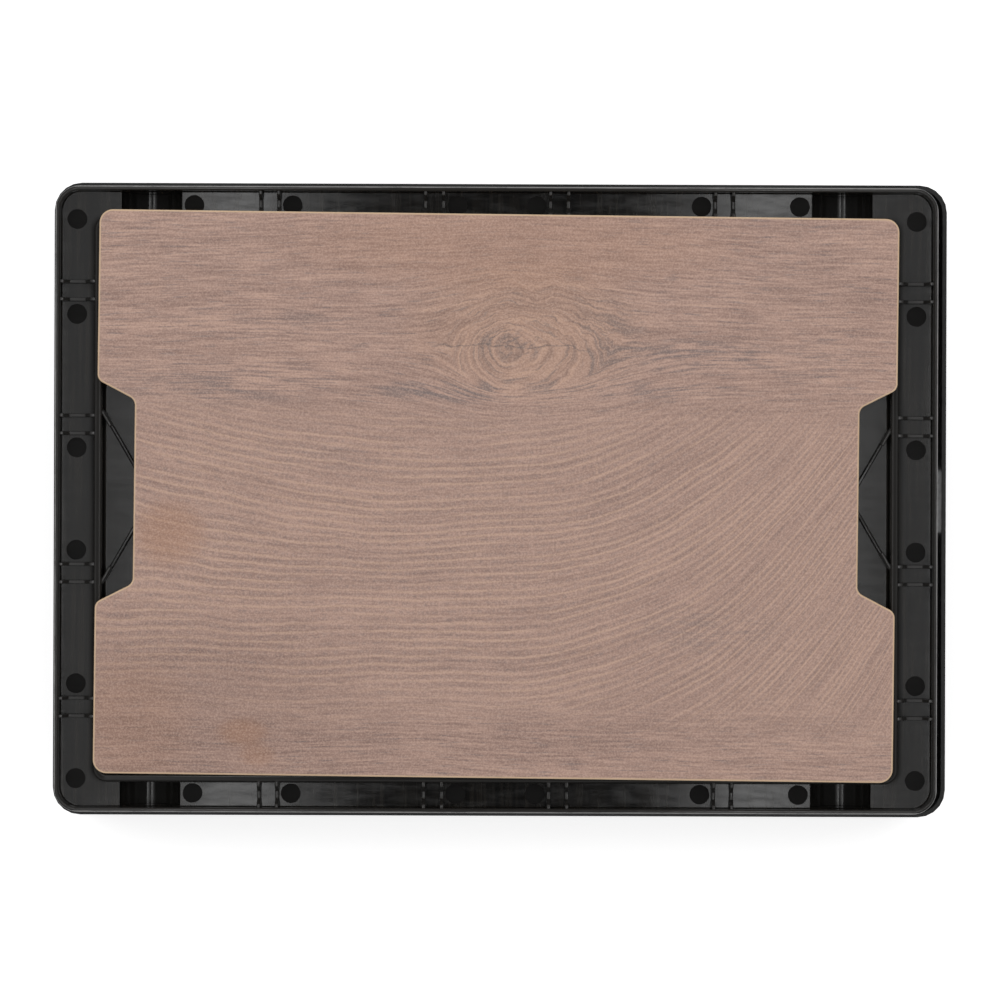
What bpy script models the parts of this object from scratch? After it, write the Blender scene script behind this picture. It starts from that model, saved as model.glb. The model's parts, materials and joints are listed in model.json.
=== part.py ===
"""Folding crate with a table board and a cooler bag, folded flat and turned base up.

The crate stands on the face of its top rim at z = 0. Its long walls fold inwards at their
middle, its end walls lie flat under them, and the base is nested in the rim. The table board
lies on the ridge of the upturned base. X runs along the crate, Y across it, Z up. Metres.
"""
import math

import bmesh
import bpy
from mathutils import Matrix, Vector

for old_object in list(bpy.data.objects):
    bpy.data.objects.remove(old_object, do_unlink=True)

# Clearances
TOUCH_GAP = 0.0003
PANEL_GAP = 0.0006
STACK_GAP = 0.0007
LAYER_GAP = 0.001
KNUCKLE_SIDE_GAP = 0.0006
RIM_POST_SIDE_PLAY = 0.0026
NEST_PLAY_X = 0.0036
NEST_PLAY_Y = 0.0016

# Top rim, which stands on its face
RIM_LENGTH = 0.490
RIM_WIDTH = 0.347
RIM_HEIGHT = 0.050
RIM_CORNER = 0.015
SHELL = 0.0024
RIM_FACE = 0.003
LEDGE_DEPTH = 0.006
LEDGE_THICKNESS = 0.0025
RECESS_FROM_ENDS = 0.027
RECESS_FROM_SIDES = 0.0195
GRIP_WIDTH = 0.095
GRIP_LOW = 0.010
GRIP_HIGH = 0.031
GRIP_CORNER = 0.008
SLOT_LENGTH = 0.035
SLOT_WIDTH = 0.007

# Table board
RECESS_PLAY_ENDS = 0.00245
RECESS_PLAY_SIDES = 0.002
BOARD_THICKNESS = 0.009
BOARD_CORNER = 0.0073
BOARD_TURN = math.radians(-0.52)
BOARD_OFFSET_Y = 0.0021
NOTCH_MOUTH = 0.120
NOTCH_FLOOR = 0.099
NOTCH_DEPTH = 0.0203
NOTCH_FILLET = 0.005

# Base, upside down
BASE_SHIFT = -0.002
BASE_HEIGHT = 0.045
BASE_CORNER = 0.013
BASE_EDGE_OVER_HINGE = 0.0025
EDGE_ROUNDING = 0.0008
CHANNEL_ENDS = 0.0184
CHANNEL_SIDES = 0.0136
CHANNEL_DEPTH = 0.0096
RIDGE_WIDTH = 0.0044
RIDGE_CORNER = 0.0075
RIDGE_ROUNDING = 0.0013
FLOOR_DROP = 0.014
FLOOR_SHEET = 0.0024

# Stacking sockets in the base's long channels
SOCKET_RADIUS = 0.0164
SOCKET_FROM_END = 0.0489
SOCKET_CUTTER_HALF = 0.033

# Ribs across the base's channel
RIB_THICKNESS = 0.0019
RIB_TIP = 0.002
RIB_SLOPE = 0.0028
RIB_TOP_DROP = 0.0012
RIB_NOTCH_DROP = 0.0062
END_RIB_PLACES = (0.0355, 0.0452, 0.1082, 0.1179)
SIDE_RIB_PLACES = (0.0290, 0.0388, 0.1184, 0.1282)

# Diagonal ribs on the base's floor
LATTICE_CENTRE = (0.0026, 0.0012)
LATTICE_PITCH = 0.1898
LATTICE_ANGLE = math.radians(60.0)
LATTICE_RIB = 0.0018
LATTICE_HEIGHT = 0.004
GUSSET_LENGTH = 0.011
GUSSET_HEIGHT = 0.010

# Hinges
ROD_RADIUS = 0.002
BORE_PLAY = 0.0004
HINGE_INSET = 0.0111
HINGE_LIFT = 0.004
POST_WIDTH = 0.008
POST_NECK = 0.9
POST_NECK_RISE = 0.35
ROD_END_INSET = 0.001
RIM_POST_FROM_WALL_END = 0.035
BASE_POST_PLACES = (-0.110, 0.110)
END_POST_PLACES = (-0.090, 0.090)

# Long walls
LONG_WALL_FROM_BASE_END = 0.0316
LINK = 0.080
PANEL_SKIN = 0.0025
PANEL_BORDER = 0.0075
PANEL_BAYS = 6
BAY_RIB = 0.0028
KNUCKLE_INNER_BREAK = 0.050
KNUCKLE_OUTER_BREAK = 0.150

# End walls
END_WALL_FROM_HINGE = 0.014
END_WALL_REACH = 0.165
END_WALL_THICKNESS = 0.007
END_HINGE_INSET = 0.0166
END_BAYS = 4

# Cooler bag, folded flat
BAG_FROM_BASE_ENDS = 0.0366
BAG_FROM_BASE_SIDES = 0.0321
BAG_CORNER = 0.028
BAG_LID = 0.006
BAG_ZIP = 0.002
BAG_ZIP_WIDTH = 0.010
BAG_EDGE_ROUNDING = 0.0045
LID_EDGE_ROUNDING = 0.0015
STRAP_THICKNESS = 0.0016
STRAP_WIDTH = 0.025
HANDLE_SPAN = 0.170
HANDLE_REACH = 0.085
HANDLE_CORNER = 0.030

# Mesh fineness
CORNER_STEPS = 5
FILLET_STEPS = 3
ROUND_SIDES = 12
ROD_SIDES = 8
SOCKET_SIDES = 24
CUTTER_OVERRUN = 0.002
SEAM = 0.0002
WELD_DISTANCE = 0.00001
BEVEL_ANGLE = math.radians(60.0)
SHARP_ANGLE = math.radians(35.0)

# Colours, linear, and roughness
BLACK = (0.012, 0.012, 0.013)
STEEL = (0.55, 0.56, 0.58)
LAMINATE = (0.36, 0.25, 0.19)
FABRIC = (0.10, 0.11, 0.12)
ZIP_BLACK = (0.02, 0.02, 0.02)
WEBBING = (0.03, 0.03, 0.03)
RIM_ROUGHNESS = 0.35
BASE_ROUGHNESS = 0.30
WALL_ROUGHNESS = 0.40
STEEL_ROUGHNESS = 0.30
LAMINATE_ROUGHNESS = 0.55
FABRIC_ROUGHNESS = 0.85
ZIP_ROUGHNESS = 0.70
WEBBING_ROUGHNESS = 0.80

# Heights of the folded stack, from the ground up
LEDGE_LOW = BOARD_THICKNESS + TOUCH_GAP
LEDGE_HIGH = LEDGE_LOW + LEDGE_THICKNESS
END_WALL_LOW = LEDGE_HIGH + STACK_GAP
END_AXIS_Z = END_WALL_LOW + END_WALL_THICKNESS / 2
END_WALL_HIGH = END_WALL_LOW + END_WALL_THICKNESS
UPPER_LOW = END_WALL_HIGH + LAYER_GAP
RIM_AXIS_Z = UPPER_LOW + HINGE_LIFT
MID_AXIS_Z = RIM_AXIS_Z + HINGE_LIFT
BASE_AXIS_Z = MID_AXIS_Z + HINGE_LIFT
LOWER_HIGH = BASE_AXIS_Z + HINGE_LIFT
BASE_LOW = BASE_AXIS_Z + BASE_EDGE_OVER_HINGE
BASE_HIGH = BASE_LOW + BASE_HEIGHT
FLOOR_HIGH = BASE_HIGH - FLOOR_DROP
FLOOR_LOW = FLOOR_HIGH - FLOOR_SHEET
CHANNEL_HIGH = BASE_HIGH - CHANNEL_DEPTH
CHANNEL_LOW = CHANNEL_HIGH - FLOOR_SHEET
BOARD_LOW = BASE_HIGH + TOUCH_GAP

# Plan sizes that follow from the rim
RECESS_HALF_X = RIM_LENGTH / 2 - RECESS_FROM_ENDS
RECESS_HALF_Y = RIM_WIDTH / 2 - RECESS_FROM_SIDES
BOARD_HALF_X = RECESS_HALF_X - RECESS_PLAY_ENDS
BOARD_HALF_Y = RECESS_HALF_Y - RECESS_PLAY_SIDES
HINGE_Y = RIM_WIDTH / 2 - SHELL - HINGE_INSET
MID_Y = HINGE_Y - LINK
END_HINGE_X = RIM_LENGTH / 2 - SHELL - END_HINGE_INSET
BASE_HALF_X = RIM_LENGTH / 2 - SHELL - NEST_PLAY_X
BASE_HALF_Y = RIM_WIDTH / 2 - SHELL - NEST_PLAY_Y
BASE_INNER_X = BASE_HALF_X - SHELL
BASE_INNER_Y = BASE_HALF_Y - SHELL
RIDGE_HALF_X = BASE_INNER_X - CHANNEL_ENDS
RIDGE_HALF_Y = BASE_INNER_Y - CHANNEL_SIDES
SOCKET_PLACE = BASE_INNER_X - SOCKET_FROM_END
WALL_HALF = BASE_INNER_X - LONG_WALL_FROM_BASE_END
END_WALL_HALF = HINGE_Y - END_WALL_FROM_HINGE
BAG_HALF_X = BASE_INNER_X - BAG_FROM_BASE_ENDS
BAG_HALF_Y = BASE_INNER_Y - BAG_FROM_BASE_SIDES
RIM_POST_PLACES = (RIM_POST_FROM_WALL_END - WALL_HALF, 0.0, WALL_HALF - RIM_POST_FROM_WALL_END)
UPPER_KNUCKLES = ((-WALL_HALF, -KNUCKLE_OUTER_BREAK), (-KNUCKLE_INNER_BREAK, KNUCKLE_INNER_BREAK),
                  (KNUCKLE_OUTER_BREAK, WALL_HALF))
LOWER_KNUCKLES = ((-KNUCKLE_OUTER_BREAK, -KNUCKLE_INNER_BREAK),
                  (KNUCKLE_INNER_BREAK, KNUCKLE_OUTER_BREAK))
KNUCKLE_RADIUS = HINGE_LIFT - PANEL_GAP / 2
KNUCKLE_NOTCH = KNUCKLE_RADIUS + KNUCKLE_SIDE_GAP
BORE_RADIUS = ROD_RADIUS + BORE_PLAY

parts = bpy.data.collections.new("folding_crate_with_cooler_bag")
cutters = bpy.data.collections.new("cutters")
bpy.context.scene.collection.children.link(parts)
bpy.context.scene.collection.children.link(cutters)


def finish_of(name, colour, roughness, metallic=0.0):
    """Return a Principled material."""
    material = bpy.data.materials.new(name)
    material.use_nodes = True
    shader = material.node_tree.nodes["Principled BSDF"]
    shader.inputs["Base Color"].default_value = (*colour, 1.0)
    shader.inputs["Roughness"].default_value = roughness
    shader.inputs["Metallic"].default_value = metallic
    material.diffuse_color = (*colour, 1.0)
    return material


def shape(mesh):
    """Link a mesh as a construction shape, which is not a part yet."""
    body = bpy.data.objects.new(mesh.name, mesh)
    body.hide_render = True
    body.display_type = "WIRE"
    cutters.objects.link(body)
    return body


def make_part(body, name, finish, origin=(0.0, 0.0, 0.0)):
    """Turn a construction shape into a named part whose origin is at the given point."""
    cutters.objects.unlink(body)
    parts.objects.link(body)
    body.hide_render = False
    body.display_type = "TEXTURED"
    body.name = name
    body.data.name = name
    body.data.transform(Matrix.Translation(-Vector(origin)))
    body.location = origin
    body.data.materials.append(finish)
    body.data.shade_smooth()
    body.data.set_sharp_from_angle(angle=SHARP_ANGLE)
    return body


def boolean(target, operation, shapes):
    """Join shapes to a target, or cut them out of it."""
    for other in shapes:
        modifier = target.modifiers.new(operation.lower(), "BOOLEAN")
        modifier.operation = operation
        modifier.solver = "EXACT"
        modifier.object = other


def bevel(target, width, segments):
    """Round the sharp edges of a target."""
    modifier = target.modifiers.new("rounding", "BEVEL")
    modifier.width = width
    modifier.segments = segments
    modifier.limit_method = "ANGLE"
    modifier.angle_limit = BEVEL_ANGLE


def block(x_span, y_span, z_span):
    """Return a box between pairs of coordinates."""
    spans = (sorted(x_span), sorted(y_span), sorted(z_span))
    size = [high - low for low, high in spans]
    centre = [(high + low) / 2 for low, high in spans]
    work = bmesh.new()
    bmesh.ops.create_cube(work, size=1.0)
    bmesh.ops.scale(work, vec=size, verts=work.verts)
    bmesh.ops.translate(work, vec=centre, verts=work.verts)
    mesh = bpy.data.meshes.new("block")
    work.to_mesh(mesh)
    work.free()
    return shape(mesh)


def round_bar(along, span, side, height, radius, sides=ROUND_SIDES):
    """Return a cylinder along X or Y. side is its place on the other level axis."""
    low, high = sorted(span)
    turn = Matrix.Rotation(math.radians(90.0), 4, "Y" if along == "X" else "X")
    middle = (low + high) / 2
    centre = (middle, side, height) if along == "X" else (side, middle, height)
    work = bmesh.new()
    bmesh.ops.create_cone(work, cap_ends=True, segments=sides, radius1=radius, radius2=radius,
                          depth=high - low, matrix=Matrix.Translation(centre) @ turn)
    mesh = bpy.data.meshes.new("round_bar")
    work.to_mesh(mesh)
    work.free()
    return shape(mesh)


def bar(start, end, width, z_span):
    """Return an upright bar of a given width between two points in plan."""
    start, end = Vector(start), Vector(end)
    run = end - start
    low, high = z_span
    centre = Vector(((start.x + end.x) / 2, (start.y + end.y) / 2, (low + high) / 2))
    turn = Matrix.Rotation(math.atan2(run.y, run.x), 4, "Z")
    size = Matrix.Diagonal((run.length, width, high - low, 1.0))
    work = bmesh.new()
    bmesh.ops.create_cube(work, size=1.0, matrix=Matrix.Translation(centre) @ turn @ size)
    mesh = bpy.data.meshes.new("bar")
    work.to_mesh(mesh)
    work.free()
    return shape(mesh)


def filleted(corners, steps=CORNER_STEPS):
    """Return an outline whose corners (x, y, radius) are rounded with arcs."""
    outline = []
    for index, (x, y, radius) in enumerate(corners):
        corner = Vector((x, y))
        before = (Vector(corners[index - 1][:2]) - corner).normalized()
        after = (Vector(corners[(index + 1) % len(corners)][:2]) - corner).normalized()
        half_angle = before.angle(after) / 2
        centre = corner + (before + after).normalized() * (radius / math.sin(half_angle))
        first = corner + before * (radius / math.tan(half_angle)) - centre
        sweep = math.pi - 2 * half_angle
        turn = 1.0 if before.cross(after) < 0 else -1.0
        for step in range(steps + 1):
            spoke = Matrix.Rotation(turn * sweep * step / steps, 2) @ first
            outline.append(tuple(centre + spoke))
    return outline


def rounded_rectangle(half_x, half_y, radius, steps=CORNER_STEPS):
    """Return the outline of a rectangle with round corners, centred on the origin."""
    corners = ((half_x, half_y), (-half_x, half_y), (-half_x, -half_y), (half_x, -half_y))
    return filleted([(x, y, radius) for x, y in corners], steps)


def plate(outlines, z_span):
    """Return a flat plate from an outline and the outlines of its holes."""
    low, high = z_span
    curve = bpy.data.curves.new("outline", "CURVE")
    curve.dimensions = "2D"
    curve.fill_mode = "BOTH"
    curve.extrude = (high - low) / 2
    for outline in outlines:
        spline = curve.splines.new("POLY")
        spline.points.add(len(outline) - 1)
        for point, (x, y) in zip(spline.points, outline):
            point.co = (x, y, 0.0, 1.0)
        spline.use_cyclic_u = True
    body = bpy.data.objects.new("outline", curve)
    cutters.objects.link(body)
    bpy.context.view_layer.update()
    evaluated = body.evaluated_get(bpy.context.evaluated_depsgraph_get())
    mesh = bpy.data.meshes.new_from_object(evaluated)
    bpy.data.objects.remove(body, do_unlink=True)
    work = bmesh.new()
    work.from_mesh(mesh)
    bmesh.ops.remove_doubles(work, verts=work.verts, dist=WELD_DISTANCE)
    bmesh.ops.translate(work, vec=(0.0, 0.0, (low + high) / 2), verts=work.verts)
    bmesh.ops.recalc_face_normals(work, faces=work.faces)
    work.to_mesh(mesh)
    work.free()
    return shape(mesh)


def ring_wall(half_x, half_y, corner, thickness, z_span, rounding=0.0):
    """Return an upright wall round a rounded rectangle, with its outer face on the outline."""
    low, high = z_span
    work = bmesh.new()
    foot = [work.verts.new((x, y, low)) for x, y in rounded_rectangle(half_x, half_y, corner)]
    edges = [work.edges.new((foot[index - 1], foot[index])) for index in range(len(foot))]
    raised = bmesh.ops.extrude_edge_only(work, edges=edges)["geom"]
    top = [item for item in raised if isinstance(item, bmesh.types.BMVert)]
    bmesh.ops.translate(work, vec=(0.0, 0.0, high - low), verts=top)
    bmesh.ops.recalc_face_normals(work, faces=work.faces)
    work.faces.ensure_lookup_table()
    first = work.faces[0]
    if first.normal.dot(first.calc_center_median()) < 0:
        bmesh.ops.reverse_faces(work, faces=work.faces)
    mesh = bpy.data.meshes.new("ring_wall")
    work.to_mesh(mesh)
    work.free()
    body = shape(mesh)
    solidify = body.modifiers.new("thickness", "SOLIDIFY")
    solidify.thickness = thickness
    solidify.offset = -1.0
    solidify.use_even_offset = True
    if rounding:
        bevel(body, rounding, 1)
    return body


def shifted(body, x=0.0, y=0.0):
    """Move a construction shape in plan, in its mesh."""
    body.data.transform(Matrix.Translation((x, y, 0.0)))
    return body


def hinge_post(along, place, side, axis_z, foot_z, radius):
    """Return a post with a round head on a hinge axis. It may hang down or stand up."""
    span = (place - POST_WIDTH / 2, place + POST_WIDTH / 2)
    side_span = (side - radius * POST_NECK, side + radius * POST_NECK)
    neck_z = axis_z + math.copysign(radius * POST_NECK_RISE, foot_z - axis_z)
    column = block(span if along == "X" else side_span, side_span if along == "X" else span,
                   (foot_z, neck_z))
    return [column, round_bar(along, span, side, axis_z, radius)]


def upright_slot(x_span, width, z_span, corner):
    """Return a cutter for a round-cornered hole through an end wall."""
    low, high = z_span
    corners = ((width / 2, high), (-width / 2, high), (-width / 2, low), (width / 2, low))
    cutter = plate([filleted([(y, z, corner) for y, z in corners])], sorted(x_span))
    cutter.data.transform(Matrix(((0, 0, 1, 0), (1, 0, 0, 0), (0, 1, 0, 0), (0, 0, 0, 1))))
    return cutter


def make_rim_skirt(finish):
    """Skirt that stands on the rim's face, with a grip at each end."""
    skirt = ring_wall(RIM_LENGTH / 2, RIM_WIDTH / 2, RIM_CORNER, SHELL,
                      (RIM_FACE + TOUCH_GAP, RIM_HEIGHT))
    grips = []
    for side in (-1, 1):
        outer = side * (RIM_LENGTH / 2 + CUTTER_OVERRUN)
        inner = side * (RIM_LENGTH / 2 - SHELL - CUTTER_OVERRUN)
        grips.append(upright_slot((outer, inner), GRIP_WIDTH, (GRIP_LOW, GRIP_HIGH), GRIP_CORNER))
    boolean(skirt, "DIFFERENCE", grips)
    return make_part(skirt, "rim_skirt", finish)


def make_top_rim(finish):
    """The rim's face, its board recess with a ledge, and its hinge posts."""
    recess_corner = BOARD_CORNER + RECESS_PLAY_SIDES
    face_hole = rounded_rectangle(RECESS_HALF_X + SHELL / 2, RECESS_HALF_Y + SHELL / 2,
                                  recess_corner + SHELL / 2)
    opening = rounded_rectangle(RECESS_HALF_X - LEDGE_DEPTH, RECESS_HALF_Y - LEDGE_DEPTH,
                                RIDGE_CORNER)
    rim = plate([rounded_rectangle(RIM_LENGTH / 2, RIM_WIDTH / 2, RIM_CORNER), face_hole],
                (0.0, RIM_FACE))
    recess_wall = ring_wall(RECESS_HALF_X + SHELL, RECESS_HALF_Y + SHELL, recess_corner + SHELL,
                            SHELL, (0.0, LEDGE_HIGH))
    ledge = plate([face_hole, opening], (LEDGE_LOW, LEDGE_HIGH - SEAM))
    posts = []
    for side in (-1, 1):
        for place in RIM_POST_PLACES:
            posts += hinge_post("X", place, side * HINGE_Y, RIM_AXIS_Z, RIM_FACE / 2,
                                KNUCKLE_RADIUS)
        for place in END_POST_PLACES:
            posts += hinge_post("Y", place, side * END_HINGE_X, END_AXIS_Z, RIM_FACE / 2,
                                END_WALL_THICKNESS / 2)
    boolean(rim, "UNION", [recess_wall, ledge] + posts)
    cuts = []
    for side in (-1, 1):
        half_long = RIM_LENGTH / 2
        cuts.append(round_bar("X", (-half_long + SHELL, half_long - SHELL), side * HINGE_Y,
                              RIM_AXIS_Z, BORE_RADIUS, ROD_SIDES))
        cuts.append(round_bar("Y", (-BASE_HALF_Y, BASE_HALF_Y), side * END_HINGE_X,
                              END_AXIS_Z, BORE_RADIUS, ROD_SIDES))
        slot_outer = side * (half_long - SHELL - SEAM)
        slot_inner = slot_outer - side * SLOT_WIDTH
        cuts.append(block((slot_inner, slot_outer), (-SLOT_LENGTH / 2, SLOT_LENGTH / 2),
                          (-CUTTER_OVERRUN, RIM_FACE + CUTTER_OVERRUN)))
    boolean(rim, "DIFFERENCE", cuts)
    return make_part(rim, "top_rim", finish)


def channel_rib(along, place, side, inner, outer):
    """Return a rib across the base's channel, high at both walls and low between them."""
    top = BASE_HIGH - RIB_TOP_DROP
    low = BASE_HIGH - RIB_NOTCH_DROP
    foot = CHANNEL_LOW + FLOOR_SHEET / 2
    profile = [(inner, foot), (outer, foot), (outer, top), (outer - RIB_TIP, top),
               (outer - RIB_TIP - RIB_SLOPE, low), (inner + RIB_TIP + RIB_SLOPE, low),
               (inner + RIB_TIP, top), (inner, top)]
    profile = [(side * across, height) for across, height in profile]
    rib = plate([profile], (place - RIB_THICKNESS / 2, place + RIB_THICKNESS / 2))
    if along == "X":
        turn = Matrix(((0, 0, 1, 0), (1, 0, 0, 0), (0, 1, 0, 0), (0, 0, 0, 1)))
    else:
        turn = Matrix(((1, 0, 0, 0), (0, 0, 1, 0), (0, 1, 0, 0), (0, 0, 0, 1)))
        rib.data.flip_normals()
    rib.data.transform(turn)
    return rib


def lattice_ribs():
    """Diagonal ribs on the base's floor, each taller where it meets the ridge."""
    reach_x = RIDGE_HALF_X - RIDGE_WIDTH / 2
    reach_y = RIDGE_HALF_Y - RIDGE_WIDTH / 2
    foot = FLOOR_LOW + FLOOR_SHEET / 2
    ribs = []
    for apex in (-1, 0, 1):
        apex_x = LATTICE_CENTRE[0] + apex * LATTICE_PITCH
        for slant in (-1, 1):
            direction = Vector((slant * math.cos(LATTICE_ANGLE), math.sin(LATTICE_ANGLE)))
            ends = []
            for way in (-1, 1):
                ray = direction * way
                wall_x = math.copysign(reach_x, ray.x)
                wall_y = math.copysign(reach_y, ray.y)
                travel = min((wall_x - apex_x) / ray.x, (wall_y - LATTICE_CENTRE[1]) / ray.y)
                ends.append(Vector((apex_x, LATTICE_CENTRE[1])) + ray * travel)
            ribs.append(bar(ends[0], ends[1], LATTICE_RIB, (foot, FLOOR_HIGH + LATTICE_HEIGHT)))
            for end, other in (ends, reversed(ends)):
                inward = (other - end).normalized()
                ribs.append(bar(end, end + inward * GUSSET_LENGTH, LATTICE_RIB - SEAM,
                                (foot, FLOOR_HIGH + GUSSET_HEIGHT)))
    return ribs


def make_base_tray(finish):
    """Outer wall, ribbed channel, ridge, ribbed floor, stacking sockets and hinge posts."""
    base = ring_wall(BASE_HALF_X, BASE_HALF_Y, BASE_CORNER, SHELL, (BASE_LOW, BASE_HIGH),
                     EDGE_ROUNDING)
    ridge = ring_wall(RIDGE_HALF_X, RIDGE_HALF_Y, RIDGE_CORNER, RIDGE_WIDTH,
                      (FLOOR_LOW, BASE_HIGH), RIDGE_ROUNDING)
    channel = plate([rounded_rectangle(BASE_HALF_X - SHELL / 2, BASE_HALF_Y - SHELL / 2,
                                       BASE_CORNER - SHELL / 2),
                     rounded_rectangle(RIDGE_HALF_X - RIDGE_WIDTH / 2,
                                       RIDGE_HALF_Y - RIDGE_WIDTH / 2,
                                       RIDGE_CORNER - RIDGE_WIDTH / 2)],
                    (CHANNEL_LOW, CHANNEL_HIGH))
    floor = plate([rounded_rectangle(RIDGE_HALF_X - RIDGE_WIDTH / 2,
                                     RIDGE_HALF_Y - RIDGE_WIDTH / 2,
                                     RIDGE_CORNER - RIDGE_WIDTH / 2)],
                  (FLOOR_LOW + SEAM, FLOOR_HIGH))
    added = [ridge, channel, floor]
    cuts = []
    for side in (-1, 1):
        for sign in (-1, 1):
            for place in END_RIB_PLACES:
                added.append(channel_rib("Y", sign * place, side, RIDGE_HALF_X - RIDGE_WIDTH / 2,
                                         BASE_INNER_X + SHELL / 2))
            for place in SIDE_RIB_PLACES:
                added.append(channel_rib("X", sign * place, side, RIDGE_HALF_Y - RIDGE_WIDTH / 2,
                                         BASE_INNER_Y + SHELL / 2))
            socket_x = sign * SOCKET_PLACE
            middle = side * (RIDGE_HALF_Y + CHANNEL_SIDES / 2)
            half = CHANNEL_SIDES / 2
            bowl = round_bar("Y", (middle - half - SHELL / 2, middle + half + SHELL / 2),
                             socket_x, CHANNEL_HIGH, SOCKET_RADIUS + SHELL, SOCKET_SIDES)
            above = block((socket_x - SOCKET_CUTTER_HALF, socket_x + SOCKET_CUTTER_HALF),
                          (middle - CHANNEL_SIDES, middle + CHANNEL_SIDES),
                          (CHANNEL_HIGH - SEAM, CHANNEL_HIGH + SOCKET_CUTTER_HALF))
            boolean(bowl, "DIFFERENCE", [shifted(above, x=BASE_SHIFT)])
            added.append(bowl)
            cuts.append(round_bar("Y", (middle - half, middle + half), socket_x,
                                  CHANNEL_HIGH, SOCKET_RADIUS, SOCKET_SIDES))
        for place in BASE_POST_PLACES:
            added += hinge_post("X", place, side * HINGE_Y, BASE_AXIS_Z,
                                CHANNEL_LOW + FLOOR_SHEET / 2, KNUCKLE_RADIUS)
        cuts.append(round_bar("X", (-BASE_INNER_X, BASE_INNER_X), side * HINGE_Y, BASE_AXIS_Z,
                              BORE_RADIUS, ROD_SIDES))
    added += lattice_ribs()
    for item in [base] + added + cuts:
        shifted(item, x=BASE_SHIFT)
    boolean(base, "UNION", added)
    boolean(base, "DIFFERENCE", cuts)
    return make_part(base, "base_tray", finish, (BASE_SHIFT, -HINGE_Y, BASE_AXIS_Z))


def pockets(x_span, y_span, z_span, bays, along):
    """Return cutters for a row of pockets with ribs between them."""
    spans = {"X": x_span, "Y": y_span}
    low, high = sorted(spans[along])
    pitch = (high - low + BAY_RIB) / bays
    cells = []
    for index in range(bays):
        start = low + index * pitch
        cell = (start, start + pitch - BAY_RIB)
        cells.append(block(cell if along == "X" else x_span, cell if along == "Y" else y_span,
                           z_span))
    return cells


def make_long_wall(name, side, upper, finish):
    """Half of a folding long wall, hinged to the rim or the base and to its other half."""
    hinge_z = RIM_AXIS_Z if upper else BASE_AXIS_Z
    z_span = (UPPER_LOW, MID_AXIS_Z - PANEL_GAP / 2)
    if not upper:
        z_span = (MID_AXIS_Z + PANEL_GAP / 2, LOWER_HIGH)
    post_places = RIM_POST_PLACES if upper else BASE_POST_PLACES
    post_play = RIM_POST_SIDE_PLAY if upper else KNUCKLE_SIDE_GAP
    own = UPPER_KNUCKLES if upper else LOWER_KNUCKLES
    others = LOWER_KNUCKLES if upper else UPPER_KNUCKLES
    hinge_y = side * HINGE_Y
    mid_y = side * MID_Y
    wall = block((-WALL_HALF, WALL_HALF), (hinge_y, mid_y + side * PANEL_GAP / 2), z_span)
    added = [round_bar("X", (-WALL_HALF, WALL_HALF), hinge_y, hinge_z, KNUCKLE_RADIUS)]
    for start, end in own:
        added.append(round_bar("X", (start + KNUCKLE_SIDE_GAP / 2, end - KNUCKLE_SIDE_GAP / 2),
                               mid_y, MID_AXIS_Z, KNUCKLE_RADIUS))
    beyond = (z_span[0] - HINGE_LIFT, z_span[1] + HINGE_LIFT)
    cuts = []
    for place in post_places:
        reach = POST_WIDTH / 2 + post_play
        cuts.append(block((place - reach, place + reach),
                          (hinge_y + side * KNUCKLE_NOTCH, hinge_y - side * KNUCKLE_NOTCH),
                          beyond))
    for start, end in others:
        cuts.append(block((start - KNUCKLE_SIDE_GAP / 2, end + KNUCKLE_SIDE_GAP / 2),
                          (mid_y + side * KNUCKLE_NOTCH, mid_y - side * KNUCKLE_NOTCH), beyond))
    skin_side = (z_span[0] + PANEL_SKIN, z_span[1] + CUTTER_OVERRUN)
    if not upper:
        skin_side = (z_span[0] - CUTTER_OVERRUN, z_span[1] - PANEL_SKIN)
    cuts += pockets((PANEL_BORDER - WALL_HALF, WALL_HALF - PANEL_BORDER),
                    (hinge_y - side * (KNUCKLE_NOTCH + PANEL_BORDER),
                     mid_y + side * (KNUCKLE_NOTCH + PANEL_BORDER)), skin_side, PANEL_BAYS, "X")
    for axis_y, axis_z in ((hinge_y, hinge_z), (mid_y, MID_AXIS_Z)):
        cuts.append(round_bar("X", (-WALL_HALF - CUTTER_OVERRUN, WALL_HALF + CUTTER_OVERRUN),
                              axis_y, axis_z, BORE_RADIUS, ROD_SIDES))
    for item in [wall] + added + cuts:
        shifted(item, x=BASE_SHIFT)
    boolean(wall, "UNION", added)
    boolean(wall, "DIFFERENCE", cuts)
    origin = (BASE_SHIFT, hinge_y, hinge_z) if upper else (BASE_SHIFT, mid_y, MID_AXIS_Z)
    return make_part(wall, name, finish, origin)


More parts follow.
